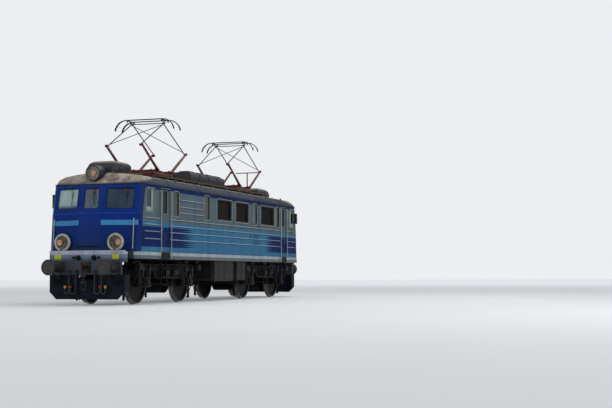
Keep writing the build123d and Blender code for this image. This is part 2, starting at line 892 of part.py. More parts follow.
# Equipment on the roof
def insulator(x, y, foot, top, radius):
    """Ribbed post insulator"""
    core_share = 0.6
    sheds = 4
    shed_half = 9
    rod((x, y, foot), (x, y, top), radius * core_share)
    for shed in range(sheds):
        level = foot + (shed + 0.5) * (top - foot) / sheds
        rod((x, y, level - shed_half), (x, y, level + shed_half), radius)


base_places = (pantograph_place, -pantograph_place)
bar_radius = 18
bar_height = base_top - base_bar / 2
mast_place = -5230
mast_foot = 4200
mast_top = 4800
mast_half = 480
mast_radius = 22
lead_radius = 12
lead_lift = 60
lead_end = 10
insulator_x = 600
insulator_y = base_half_width - 40
insulator_foot = roof_crown - 45
insulator_radius = 62
bar_insulator_radius = 50
mast_insulator_radius = 80
bar_insulator_places = (-2250, -1700, 1700, 2250)
with BuildPart() as roof_insulators:
    for centre in base_places:
        for x in (-insulator_x, insulator_x):
            for y in (-insulator_y, insulator_y):
                insulator(centre + x, y, insulator_foot, base_top - base_bar, insulator_radius)
    for x in bar_insulator_places:
        insulator(x, 0, insulator_foot, bar_height - bar_radius, bar_insulator_radius)
    insulator(mast_place, 0, insulator_foot, mast_foot, mast_insulator_radius)
    add(body_form.part, mode=Mode.SUBTRACT)

shaft_bearing_half = 55
shaft_bearing_depth = 22
with BuildPart() as pantograph_bases:
    for centre in base_places:
        for side in (1, -1):
            rail_y = side * (base_half_width - base_bar / 2)
            span_box(centre - base_reach, centre + base_reach, rail_y - base_bar / 2, rail_y + base_bar / 2,
                     base_top - base_bar, base_top)
            for end in (1, -1):
                shaft_x = centre + end * shaft_offset
                span_box(shaft_x - shaft_bearing_half, shaft_x + shaft_bearing_half,
                         rail_y - shaft_bearing_depth, rail_y + shaft_bearing_depth,
                         base_top, shaft_height + shaft_bearing_half)
        for end in (1, -1):
            cross = centre + end * base_reach
            span_box(cross - base_bar / 2, cross + base_bar / 2, base_bar - base_half_width,
                     base_half_width - base_bar, base_top - base_bar, base_top)
        for end in (1, -1):
            shaft_x = centre + end * shaft_offset
            rod((shaft_x, -base_half_width, shaft_height), (shaft_x, base_half_width, shaft_height),
                shaft_radius + seat_gap, Mode.SUBTRACT)

with BuildPart() as roof_busbars:
    bar_end = pantograph_place - base_reach - base_bar / 2
    rod((seat_gap - bar_end, 0, bar_height), (bar_end - seat_gap, 0, bar_height), bar_radius)
    rod((mast_place, 0, mast_foot), (mast_place, 0, mast_top), mast_radius)
    rod((mast_place, -mast_half, mast_top), (mast_place, mast_half, mast_top), bar_radius)
    lead_x = -pantograph_place - base_reach - base_bar
    rod((mast_place, 0, mast_foot + lead_lift), (lead_x, 0, bar_height), lead_radius)
    rod((lead_x - lead_end, 0, bar_height), (lead_x + base_bar / 2 - seat_gap, 0, bar_height), bar_radius)

# Resistor covers in a row, each with rounded shoulders and a valley for the bar between the pantographs
cover_pitch = 745
cover_length = 690
cover_half = 620
cover_foot = shoulder_height
cover_top = 4285
cover_round = 130
cover_lid = 26
cover_lid_inset = 60
valley_half = 90
with BuildPart() as resistor_hoods:
    for step in (-1.5, -0.5, 0.5, 1.5):
        middle = step * cover_pitch
        with BuildSketch(Plane.YZ.offset(middle - cover_length / 2)) as section:
            with Locations((0, cover_foot)):
                Rectangle(2 * cover_half, cover_top - cover_foot, align=(Align.CENTER, Align.MIN))
            fillet(section.vertices().group_by(Axis.Y)[-1], radius=cover_round)
        extrude(amount=cover_length)
        for side in (1, -1):
            inner = side * (valley_half + cover_lid_inset)
            outer = side * (cover_half - cover_round)
            span_box(middle - cover_length / 2 + cover_lid_inset, middle + cover_length / 2 - cover_lid_inset,
                     min(inner, outer), max(inner, outer), cover_top, cover_top + cover_lid)
    covers_end = 2 * cover_pitch
    span_box(-covers_end, covers_end, -valley_half, valley_half, bar_height - valley_half,
             cover_top + cover_lid, Mode.SUBTRACT)
    add(body_form.part, mode=Mode.SUBTRACT)

# Rounded hoods behind the roof lamps, with a horn beside each lamp
hood_half = 400
hood_start = 5350
hood_end = 6600
hood_foot = 3700
hood_top = 4232
hood_rear_top = 4030
hood_front_top = 3990
hood_flat_start = 5560
hood_flat_end = 6180
hood_round = 150
horn_place = 560
horn_height = 3690
horn_back = 6500
horn_mouth = 6760
horn_end = 6900
horn_tube = 26
horn_throat = 30
horn_bell = 74
horn_valve_place = horn_back + 40
horn_valve_radius = 40
horn_valve_height = 60
horn_foot_place = horn_back + 120
horn_foot_radius = 18
horn_foot_height = 90
with BuildPart() as cab_hoods:
    with BuildSketch(Plane.XZ.offset(-hood_half)):
        with BuildLine():
            Polyline((hood_end, hood_front_top), (hood_end, hood_foot), (hood_start, hood_foot),
                     (hood_start, hood_rear_top))
            TangentArc((hood_flat_start, hood_top), (hood_start, hood_rear_top), tangent=(-1, 0))
            Line((hood_flat_start, hood_top), (hood_flat_end, hood_top))
            TangentArc((hood_flat_end, hood_top), (hood_end, hood_front_top), tangent=(1, 0))
        make_face()
    extrude(amount=2 * hood_half)
    with BuildSketch(Plane.YZ.offset(hood_start)) as section:
        with Locations((0, hood_foot)):
            Rectangle(2 * hood_half, hood_top - hood_foot, align=(Align.CENTER, Align.MIN))
        fillet(section.vertices().group_by(Axis.Y)[-1], radius=hood_round)
    extrude(amount=hood_end - hood_start, mode=Mode.INTERSECT)
    for x0, x1, r0, r1 in ((horn_back, horn_mouth, horn_tube, horn_throat),
                           (horn_mouth, horn_end, horn_throat, horn_bell)):
        tapered_rod((x0, horn_place, horn_height), (x1, horn_place, horn_height), r0, r1)
    rod((horn_valve_place, horn_place, horn_height),
        (horn_valve_place, horn_place, horn_height + horn_valve_height), horn_valve_radius)
    rod((horn_foot_place, horn_place, horn_height - horn_foot_height),
        (horn_foot_place, horn_place, horn_height), horn_foot_radius)
    add(body_form.part, mode=Mode.SUBTRACT)
    add(headlamps.part, mode=Mode.SUBTRACT)
    add(cab_hoods.part.rotate(Axis.Z, 180))

# Mirrors on the driver's side of each cab
mirror_place = 6500
mirror_bottom = 2850
mirror_height = 400
mirror_reach = 130
mirror_root = 35
mirror_half = 45
mirror_tip = 20
mirror_arm_half = 30
mirror_arm_length = 40
mirror_arm_thickness = 40
mirror_arm_levels = (2890, 3170)
with BuildPart() as mirrors:
    skin = body_half_width
    for level in mirror_arm_levels:
        span_box(mirror_place - mirror_arm_half, mirror_place + mirror_arm_half, -skin - mirror_arm_length,
                 -skin, level, level + mirror_arm_thickness)
    with BuildSketch(Plane.XY.offset(mirror_bottom)):
        with BuildLine():
            Polyline((mirror_place - mirror_half, -skin - mirror_root),
                     (mirror_place + mirror_half, -skin - mirror_root),
                     (mirror_place + mirror_tip, -skin - mirror_reach),
                     (mirror_place - mirror_half, -skin - mirror_reach), close=True)
        make_face()
    extrude(amount=mirror_height)
    add(mirrors.part.rotate(Axis.Z, 180))

# Air hoses hung from the headstock, each with its head parked on a holder
hose_radius = 24
hose_bend = 60
hose_reach = 62
hose_drop = 340
hose_cock = 985
hose_cock_half = 32
hose_cock_nut = 12
hose_pipe_radius = 30
hose_pipe_end = 10
hose_holder_radius = 14
hose_head = 490
hose_head_length = 85
hose_places = ((300, 475), (520, 645))
with BuildPart() as brake_hoses:
    hose_x = headstock_face + hose_reach
    holder_root = headstock_face - buffer_plate_thickness + deflector_thickness + seat_gap
    for side in (1, -1):
        for root, park in hose_places:
            root_y = side * root
            park_y = side * park
            rod((headstock_face + seat_gap, root_y, hose_cock), (hose_x + hose_pipe_end, root_y, hose_cock),
                hose_pipe_radius)
            rod((hose_x, root_y, hose_cock + hose_cock_half),
                (hose_x, root_y, hose_cock - hose_cock_half - hose_cock_nut), hose_cock_half)
            with BuildLine() as route:
                FilletPolyline((hose_x, root_y, hose_cock - hose_cock_half), (hose_x, root_y, hose_drop),
                               (hose_x, park_y, hose_drop), (hose_x, park_y, hose_head + 10),
                               radius=hose_bend)
            with BuildSketch(Plane(origin=route.line @ 0, z_dir=route.line % 0)) as section:
                Circle(hose_radius)
            sweep(section.sketch, path=route.line)
            rod((hose_x, park_y, hose_head), (hose_x, park_y, hose_head + hose_head_length),
                1.5 * hose_radius)
            holder = hose_head + hose_head_length / 2
            rod((holder_root, park_y, holder), (hose_x, park_y, holder), hose_holder_radius)
    add(brake_hoses.part.rotate(Axis.Z, 180))

pieces = {
    "side_left": side_left, "side_right": side_right, "cab_front": cab_front, "cab_rear": cab_rear,
    "window_glass": window_glass, "intake_grilles": intake_grilles, "roof": roof,
    "roof_walkways": roof_walkways, "underframe": underframe, "deflectors": deflectors,
    "buffers": buffers, "couplings": couplings, "headlamps": headlamps, "lamp_glass": lamp_glass,
    "handrails": handrails, "door_steps": door_steps, "cab_bulkheads": cab_bulkheads,
    "cab_fittings": cab_fittings, "machine_block": machine_block, "battery_boxes": battery_boxes,
    "air_reservoirs": air_reservoirs, "roof_insulators": roof_insulators,
    "pantograph_bases": pantograph_bases, "roof_busbars": roof_busbars,
    "resistor_hoods": resistor_hoods, "cab_hoods": cab_hoods, "mirrors": mirrors,
    "brake_hoses": brake_hoses,
}

# Cab side doors, each with its window
for end, end_name in ((1, "front"), (-1, "rear")):
    for side, side_name in ((1, "left"), (-1, "right")):
        middle = end * door_centre
        outer = side * (body_half_width - door_set_in)
        inner = side * (body_half_width - door_set_in - door_thickness)
        with BuildPart() as door:
            half = door_width / 2 - door_gap
            span_box(middle - half, middle + half, min(outer, inner), max(outer, inner),
                     sill_top + door_gap, door_top - door_gap)
            pane = door_pane_width / 2
            span_box(middle - pane, middle + pane, min(outer, inner) - cut_reach, max(outer, inner) + cut_reach,
                     door_pane_bottom, door_pane_top, Mode.SUBTRACT)
            glass_y = side * (body_half_width - glass_inset)
            glass_back = glass_y - side * glass_thickness
            span_box(middle - pane + seat_gap, middle + pane - seat_gap, min(glass_y, glass_back),
                     max(glass_y, glass_back), door_pane_bottom + seat_gap, door_pane_top - seat_gap)
            handle_x = middle + end * handle_place
            handle_y = outer + side * handle_proud
            span_box(handle_x - handle_half, handle_x + handle_half,
                     min(outer, handle_y), max(outer, handle_y), handle_bottom, handle_top)
            x = end * hinge_x
            y = side * hinge_y
            strap_x = x + end * strap_length
            for level in hinge_levels:
                low = level - hinge_height / 2
                high = level + hinge_height / 2
                rod((x, y, low), (x, y, high), hinge_barrel)
                span_box(min(x, strap_x), max(x, strap_x), min(y, inner), max(y, inner), low, high)
                rod((x, y, low), (x, y, high), hinge_pin + seat_gap, Mode.SUBTRACT)
        pieces["door_" + end_name + "_" + side_name] = door

# Wheelsets: the axle and its two wheels turn as one
flange_tip = 8
flange_crest_in = 10
flange_crest_out = 22
tread_fall = 4
journal_step = 30


def wheelset(x):
    """Turned axle with two flanged wheels"""
    inner = back_to_back / 2
    outer = inner + rim_width
    rim = tread_radius - rim_depth
    web_in = inner + (rim_width - web_thickness) / 2
    hub_in = inner + (rim_width - hub_width) / 2
    half_outline = (
        (0, 0), (0, axle_radius), (hub_in, axle_radius), (hub_in, hub_radius), (web_in, hub_radius),
        (web_in, rim), (inner, rim), (inner, tread_radius + flange_height - flange_tip),
        (inner + flange_crest_in, tread_radius + flange_height),
        (inner + flange_crest_out, tread_radius + flange_height - tread_fall),
        (inner + flange_width, tread_radius), (outer, tread_radius - tread_fall), (outer, rim),
        (web_in + web_thickness, rim), (web_in + web_thickness, hub_radius),
        (hub_in + hub_width, hub_radius), (hub_in + hub_width, axle_radius),
        (box_inner - journal_step, axle_radius), (box_inner - journal_step, journal_radius),
        (journal_end, journal_radius), (journal_end, 0),
    )
    with BuildPart() as turned:
        with BuildSketch(Plane.YZ.offset(x)):
            with BuildLine():
                Polyline(*[(y, axle_height + r) for y, r in half_outline], close=True)
            make_face()
            mirror(about=Plane.YZ)
        revolve(axis=Axis((x, 0, axle_height), (0, 1, 0)))
    return turned


# Bogies: outside frame, axleboxes, springs and traction motors
def bogie_frame(centre):
    """Side frames with arches over the axleboxes, two end beams and a transom"""
    with BuildPart() as frame:
        for side in (1, -1):
            with BuildSketch(Plane.XZ.offset(-max(side * frame_inner, side * (frame_inner + frame_thickness)))):
                with BuildLine():
                    Polyline(
                        (centre - frame_half_length, frame_arch), (centre - arch_half, frame_arch),
                        (centre - belly_half, frame_belly), (centre + belly_half, frame_belly),
                        (centre + arch_half, frame_arch), (centre + frame_half_length, frame_arch),
                        (centre + frame_half_length, frame_top - frame_end_drop),
                        (centre + frame_half_length - frame_end_slope, frame_top),
                        (centre - frame_half_length + frame_end_slope, frame_top),
                        (centre - frame_half_length, frame_top - frame_end_drop), close=True,
                    )
                make_face()
            extrude(amount=frame_thickness)
        for end in (1, -1):
            beam = centre + end * (frame_half_length - end_beam_depth / 2)
            span_box(beam - end_beam_depth / 2, beam + end_beam_depth / 2, -frame_inner, frame_inner,
                     frame_arch, frame_arch + end_beam_height)
        span_box(centre - transom_half, centre + transom_half, -frame_inner, frame_inner,
                 transom_bottom, frame_top)
        rod((centre, 0, frame_top), (centre, 0, bolster_bottom - seat_gap), pad_radius)
    return frame


def axleboxes(centre):
    """Boxes round the journals with wings that carry the springs"""
    with BuildPart() as boxes:
        for axle in (-wheelbase / 2, wheelbase / 2):
            x = centre + axle
            for side in (1, -1):
                y0 = min(side * box_inner, side * box_outer)
                y1 = max(side * box_inner, side * box_outer)
                span_box(x - box_half_width, x + box_half_width, y0, y1,
                         axle_height - box_half_height, axle_height + box_half_height)
                wing_y = side * (frame_inner + frame_thickness / 2)
                span_box(x - wing_reach, x + wing_reach, wing_y - wing_half, wing_y + wing_half,
                         axle_height - wing_drop - wing_thickness, axle_height - wing_drop)
                rod((x, side * box_outer, axle_height),
                    (x, side * (box_outer + cover_depth), axle_height), cover_radius)
                for turn in (-1, 1):
                    guide = x + turn * (box_half_width - guide_half)
                    span_box(guide - guide_half, guide + guide_half,
                             wing_y - guide_depth / 2, wing_y + guide_depth / 2,
                             axle_height + box_half_height, frame_arch - seat_gap)
                rod((x, side * (box_inner - 10), axle_height),
                    (x, side * (journal_end + 10), axle_height), journal_radius + running_gap,
                    Mode.SUBTRACT)
    return boxes


def bogie_springs(centre):
    """Coil springs beside each axlebox, between its wings and the frame"""
    with BuildPart() as springs:
        for axle in (-wheelbase / 2, wheelbase / 2):
            for side in (1, -1):
                wing_y = side * (frame_inner + frame_thickness / 2)
                for turn in (-1, 1):
                    x = centre + axle + turn * spring_offset
                    rod((x, wing_y, axle_height - wing_drop), (x, wing_y, frame_arch - seat_gap),
                        spring_radius)
    return springs


def traction_motors(centre):
    """Two motors lying along the axles, each hung on its axle by two bearings"""
    with BuildPart() as motors:
        for end in (1, -1):
            axle = centre + end * wheelbase / 2
            x = axle - end * motor_offset
            rod((x, -motor_half_length, motor_height), (x, motor_half_length, motor_height),
                motor_radius)
            for side in (1, -1):
                y0 = side * bearing_place - bearing_width / 2
                y1 = side * bearing_place + bearing_width / 2
                rod((axle, y0, axle_height), (axle, y1, axle_height), bearing_radius)
                arm_x = axle - end * bearing_arm_start
                nose_x = axle - end * bearing_arm_end
                span_box(min(arm_x, nose_x), max(arm_x, nose_x), y0, y1,
                         axle_height - bearing_arm_half, axle_height + bearing_arm_half)
            rod((axle, -journal_end, axle_height), (axle, journal_end, axle_height),
                axle_radius + running_gap, Mode.SUBTRACT)
            nose = centre + end * transom_half
            reach = centre + end * (transom_half + motor_seat_reach)
            span_box(min(nose, reach), max(nose, reach), -motor_seat_half, motor_seat_half,
                     transom_bottom, transom_bottom + motor_seat_height)
            rod((reach - end * motor_link_inset, 0, transom_bottom + motor_seat_height / 2), (x, 0, motor_height),
                motor_link_radius)
    return motors


def brake_gear(centre):
    """Brake blocks on hangers, a beam at each end, and sand boxes with their pipes"""
    block_in = back_to_back / 2 + flange_width + block_inset
    block_out = back_to_back / 2 + rim_width
    block_y = (block_in + block_out) / 2
    hanger_place = tread_radius + block_gap + block_thickness / 2
    with BuildPart() as gear:
        for end in (1, -1):
            axle = centre + end * wheelbase / 2
            for side in (1, -1):
                for turn in (1, -1):
                    near = axle + turn * (tread_radius - block_thickness)
                    far = axle + turn * (tread_radius + block_gap + block_thickness)
                    span_box(min(near, far), max(near, far), min(side * block_in, side * block_out),
                             max(side * block_in, side * block_out),
                             axle_height - block_half_height, axle_height + block_half_height)
            rod((axle, -block_out - 50, axle_height), (axle, block_out + 50, axle_height),
                tread_radius + block_gap, Mode.SUBTRACT)
        for end in (1, -1):
            axle = centre + end * wheelbase / 2
            outer = axle + end * hanger_place
            inner = axle - end * hanger_place
            beam = outer + end * beam_offset
            rod((beam, -block_y, axle_height - beam_drop),
                (beam, block_y, axle_height - beam_drop), beam_radius)
            for side in (1, -1):
                y = side * block_y
                rod((outer, y, axle_height), (outer, y, frame_arch - seat_gap), hanger_radius)
                rod((inner, y, axle_height), (inner, y, hanger_height), hanger_radius)
                rod((inner, side * (block_in - 10), hanger_height),
                    (inner, side * (frame_inner - seat_gap), hanger_height), hanger_pin)
                face = side * (frame_inner + frame_thickness + seat_gap)
                back = face + side * sand_width
                span_box(min(centre + end * sand_start, centre + end * sand_end),
                         max(centre + end * sand_start, centre + end * sand_end),
                         min(face, back), max(face, back), sand_bottom, frame_top)
                rod((centre + end * (sand_start + sand_end) / 2, side * sand_pipe_place, sand_bottom + 10),
                    (axle + end * sand_nozzle, side * block_y, nozzle_height), sand_pipe)
    return gear


for end, end_name in ((1, "front"), (-1, "rear")):
    centre = end * bogie_pitch / 2
    pieces["bogie_frame_" + end_name] = bogie_frame(centre)
    pieces["axleboxes_" + end_name] = axleboxes(centre)
    pieces["springs_" + end_name] = bogie_springs(centre)
    pieces["motors_" + end_name] = traction_motors(centre)
    pieces["brake_gear_" + end_name] = brake_gear(centre)
for number, x in enumerate((1, -1)):
    for place, axle in enumerate((wheelbase / 2, -wheelbase / 2)):
        pieces["wheelset_" + str(2 * number + place + 1)] = wheelset(x * bogie_pitch / 2 + axle)


# Pantographs: lower arms on a shaft, upper arms on the knees and a sprung head with two skates
def lower_arms(centre, end):
    """Cross shaft with an arm out to each knee"""
    shaft_x = centre + end * shaft_offset
    knee_x = centre + end * knee_offset
    with BuildPart() as arms:
        rod((shaft_x, -knee_half, shaft_height), (shaft_x, knee_half, shaft_height), shaft_radius)
        for side in (1, -1):
            y = side * knee_half
            tapered_rod((shaft_x, y, shaft_height), (knee_x, y, knee_height), lower_arm_foot,
                        lower_arm_radius)
            rod((shaft_x, y - shaft_hub_half, shaft_height), (shaft_x, y + shaft_hub_half, shaft_height),
                shaft_hub_radius)
            rod((knee_x, y - knee_hub_half, knee_height), (knee_x, y + knee_hub_half, knee_height),
                knee_hub_radius)
            rod((knee_x, side * (upper_knee_half - 20), knee_height), (knee_x, y, knee_height),
                knee_pin_radius)
    return arms


def upper_arms(centre, end):
    """Two light arms from the knees to the head, with one diagonal between them"""
    knee_x = centre + end * knee_offset
    eye_y = head_half - 20 if end > 0 else head_half - 50
    eye = head_pin_radius + (seat_gap if end > 0 else open_pivot_gap)
    with BuildPart() as arms:
        for side in (1, -1):
            y = side * upper_knee_half
            head = (centre, side * eye_y, head_height)
            rod((knee_x, y, knee_height), head, upper_arm_radius)
            rod((knee_x, y - upper_arm_radius, knee_height), (knee_x, y + upper_arm_radius, knee_height),
                2 * upper_arm_radius)
            rod((centre, side * eye_y - eye_half, head_height), (centre, side * eye_y + eye_half, head_height),
                eye + eye_wall)
            rod((centre, side * eye_y - 30, head_height), (centre, side * eye_y + 30, head_height),
                eye, Mode.SUBTRACT)
            rod((knee_x, y - 30, knee_height), (knee_x, y + 30, knee_height),
                knee_pin_radius + seat_gap, Mode.SUBTRACT)
        low = (knee_x + (centre - knee_x) * brace_start, -end * upper_knee_half,
               knee_height + (head_height - knee_height) * brace_start)
        high = (centre + (knee_x - centre) * brace_start, end * eye_y,
                head_height + (knee_height - head_height) * brace_start)
        rod(low, high, brace_radius)
    return arms


def pantograph_head(centre):
    """Pivot tube, two uprights and two skates with down-curved horns"""
    with BuildPart() as head:
        rod((centre, -head_half - 20, head_height), (centre, head_half + 20, head_height),
            head_pin_radius)
        for side in (1, -1):
            y = side * (head_half + 10)
            span_box(centre - skate_spread, centre + skate_spread, y - 8, y + 8,
                     head_height + skate_rise - 30, head_height + skate_rise)
            span_box(centre - 25, centre + 25, y - 8, y + 8, head_height - 20,
                     head_height + skate_rise - 20)
        for place in (-skate_spread, skate_spread):
            top = head_height + skate_rise
            rod((centre + place, -skate_flat, top), (centre + place, skate_flat, top), skate_radius)
            for side in (1, -1):
                with BuildLine() as horn:
                    TangentArc(
                        (centre + place, side * skate_flat, top),
                        (centre + place, side * (skate_flat + skate_horn), top - skate_drop),
                        tangent=(0, side, 0),
                    )
                with BuildSketch(Plane(origin=horn.line @ 0, z_dir=horn.line % 0)) as section:
                    Circle(skate_radius)
                sweep(section.sketch, path=horn.line)
    return head


for end, end_name in ((1, "front"), (-1, "rear")):
    centre = end * pantograph_place
    for arm_end, arm_name in ((1, "fore"), (-1, "aft")):
        pieces["lower_arms_" + end_name + "_" + arm_name] = lower_arms(centre, arm_end)
        pieces["upper_arms_" + end_name + "_" + arm_name] = upper_arms(centre, arm_end)
    pieces["pantograph_head_" + end_name] = pantograph_head(centre)

for node, piece in pieces.items():
    piece.part.label = node
    export_step(piece.part, "parts/" + node + ".step")
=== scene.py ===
import json
import math
import bpy
import bmesh
from mathutils import Matrix, Vector

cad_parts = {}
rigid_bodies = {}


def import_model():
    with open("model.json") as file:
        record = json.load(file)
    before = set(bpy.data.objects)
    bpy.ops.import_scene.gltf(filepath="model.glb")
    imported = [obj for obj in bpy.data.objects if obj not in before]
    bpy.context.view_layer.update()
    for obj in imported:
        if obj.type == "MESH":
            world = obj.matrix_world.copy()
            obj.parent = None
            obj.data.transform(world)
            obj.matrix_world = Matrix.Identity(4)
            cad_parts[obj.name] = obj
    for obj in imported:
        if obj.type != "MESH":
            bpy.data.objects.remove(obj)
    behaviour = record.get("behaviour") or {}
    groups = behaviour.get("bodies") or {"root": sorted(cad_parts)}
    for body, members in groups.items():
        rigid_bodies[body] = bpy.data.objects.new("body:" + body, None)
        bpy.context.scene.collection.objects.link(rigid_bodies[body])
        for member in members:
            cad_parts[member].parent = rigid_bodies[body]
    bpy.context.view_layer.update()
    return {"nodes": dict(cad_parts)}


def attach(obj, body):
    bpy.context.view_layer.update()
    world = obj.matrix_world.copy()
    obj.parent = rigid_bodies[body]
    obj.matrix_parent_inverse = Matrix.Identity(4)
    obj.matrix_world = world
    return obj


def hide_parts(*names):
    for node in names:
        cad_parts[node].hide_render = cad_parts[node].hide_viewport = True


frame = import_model()
print("stage: frame loaded")

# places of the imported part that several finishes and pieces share, in metres
plan = {
    "pivot": 4.25, "halfBase": 1.525, "wheelZ": 0.653, "floorZ": 1.334, "beamFace": 7.3375,
    "bufferY": 0.875, "bufferZ": 1.088, "lampY": 0.853, "lampZ": 1.806, "roofLampZ": 3.818,
    "bulbGap": 0.092, "bulb": 0.079, "doorX": 5.24, "wallFace": 1.470, "pantographX": 3.45,
}


def tone(text):
    # a colour as it looks on screen, turned into the values that a shader takes
    parts = [int(text[i:i + 2], 16) / 255 for i in (1, 3, 5)]
    return [p / 12.92 if p <= 0.04045 else ((p + 0.055) / 1.055) ** 2.4 for p in parts] + [1.0]


class Wire:
    # one output of a material, so that sums on it can be written as Python
    def __init__(self, paint, socket):
        self.paint = paint
        self.socket = socket

    def __add__(self, other):
        return self.paint.maths("ADD", self, other)

    def __radd__(self, other):
        return self.paint.maths("ADD", other, self)

    def __sub__(self, other):
        return self.paint.maths("SUBTRACT", self, other)

    def __rsub__(self, other):
        return self.paint.maths("SUBTRACT", other, self)

    def __mul__(self, other):
        return self.paint.maths("MULTIPLY", self, other)

    def __truediv__(self, other):
        return self.paint.maths("DIVIDE", self, other)

    def __abs__(self):
        return self.paint.maths("ABSOLUTE", self)

    # 0 below the edge, 1 above it, with a soft change of the given width
    def above(self, edge, soft=0.006):
        shifted = (self - edge) / soft + 0.5
        return self.paint.node("ShaderNodeClamp", {}, {0: shifted})

    def between(self, low, high, soft=0.006):
        return self.above(low, soft) * (1 - self.above(high, soft))


class Paint:
    # one material: a Principled shader fed by position on the object
    def __init__(self, name, gloss=0.3):
        self.material = bpy.data.materials.new(name)
        self.material.use_nodes = True
        self.tree = self.material.node_tree
        self.tree.nodes.clear()
        self.shader = self.tree.nodes.new("ShaderNodeBsdfPrincipled")
        self.shader.inputs["Specular IOR Level"].default_value = gloss
        output = self.tree.nodes.new("ShaderNodeOutputMaterial")
        self.tree.links.new(self.shader.outputs[0], output.inputs[0])
        self.place = Wire(self, self.tree.nodes.new("ShaderNodeTexCoord").outputs["Object"])
        split = self.tree.nodes.new("ShaderNodeSeparateXYZ")
        self.tree.links.new(self.place.socket, split.inputs[0])
        self.x, self.y, self.z = (Wire(self, out) for out in split.outputs)

    def feed(self, socket, value):
        if isinstance(value, Wire):
            self.tree.links.new(value.socket, socket)
        else:
            socket.default_value = tone(value) if isinstance(value, str) else value

    def node(self, kind, settings, inputs, output=0):
        made = self.tree.nodes.new(kind)
        for key, value in settings.items():
            setattr(made, key, value)
        for key, value in inputs.items():
            self.feed(made.inputs[key], value)
        return Wire(self, made.outputs[output])

    def maths(self, operation, first, second=0.0):
        return self.node("ShaderNodeMath", {"operation": operation}, {0: first, 1: second})

    def mix(self, mask, first, second):
        return self.node("ShaderNodeMix", {"data_type": "RGBA"}, {0: mask, 6: first, 7: second}, 2)

    def most(self, first, second):
        return self.maths("MAXIMUM", first, second)

    def zigzag(self, value, period):
        # climbs from 0 to 1 and back along each period
        return self.maths("PINGPONG", value, period / 2) / (period / 2)

    def reach(self, across, up):
        # distance from an axis
        return self.maths("SQRT", across * across + up * up)

    def noise(self, size, detail=3.0, stretch=(1, 1, 1)):
        # cloudy pattern whose patches are about the given size in metres
        scaled = self.node("ShaderNodeVectorMath", {"operation": "MULTIPLY"},
                           {0: self.place, 1: [s / size for s in stretch]})
        return self.node("ShaderNodeTexNoise", {}, {"Vector": scaled, "Scale": 1.0, "Detail": detail,
                                                    "Roughness": 0.6})

    def patches(self, size, first, second, soft=0.4, detail=4.0):
        # two colours in clouds of the given size
        return self.mix(self.noise(size, detail).above(0.5, soft), first, second)

    def finish(self, colour, rough, metal=0.0, bump=None, bumpDepth=0.001):
        self.feed(self.shader.inputs["Base Color"], colour)
        self.feed(self.shader.inputs["Roughness"], rough)
        self.feed(self.shader.inputs["Metallic"], metal)
        if bump is not None:
            made = self.node("ShaderNodeBump", {}, {"Strength": 0.6, "Distance": bumpDepth, "Height": bump})
            self.feed(self.shader.inputs["Normal"], made)
        return self.material


# road dirt: soft runs down the paint, cloudy fading and a film of dust low down
dirt = {
    "run": "#1f1d1c", "fade": "#7d868c", "dust": "#544c42", "runSize": 0.33, "cloudSize": 1.6,
    "dustSize": 0.4, "runDown": (1, 1, 0.12), "dustSoft": 1.2,
}


def grime(paint, colour, streaks, dust, dustTop=1.9, fade=0.12):
    cloud = paint.noise(dirt["cloudSize"], 4.0)
    runs = paint.noise(dirt["runSize"], 4.0, dirt["runDown"])
    faded = paint.mix(cloud.above(0.56, 0.5) * fade, colour, dirt["fade"])
    run = paint.mix(runs.above(0.60, 0.34) * streaks, faded, dirt["run"])
    low = (1 - paint.z.above(dustTop, dirt["dustSoft"])) * paint.noise(dirt["dustSize"], 4.0).above(0.45, 0.5)
    return paint.mix(low * dust, run, dirt["dust"])


# the livery of the sides: heights of its bands, and the comb where dark blue runs out into light blue; it
# also holds the painted highlight and painted shade of the ribs, and the near-black painted shade of the
# louvre recesses and door gaps
livery = {
    "lowBlue": 1.688, "navyTop": 2.278, "blueTop": 2.428, "cantrail": 3.372, "violetPlace": 5.56,
    "combFront": 4.02, "frontLength": 1.02, "combRear": -4.02, "rearLength": 0.85, "tooth": 0.0655,
    "combSoft": 0.10, "grey": "#4c5b64", "pale": "#5c6a71", "blue": "#30658a", "sky": "#3b7595",
    "navy": "#001f54", "violet": "#041c58", "rail": "#0a1f52", "edge": "#12181f", "ribLight": "#9aa9b1",
    "ribDark": "#2b3a46", "ribs": (1.913, 2.130, 2.332, 2.522, 2.752, 2.937, 3.153), "ribHalf": 0.022,
    "ribFace": 1.4716, "ribSoft": 0.004, "doorEdge": 1.4642, "recess": (1.412, 1.4688), "thin": 0.0006,
    "paneHalf": 0.14485, "paneLow": 2.6902, "paneHigh": 3.3698, "paneEdge": 0.0001, "pane": "#262d28",
    "paneFilm": "#454b40",
}


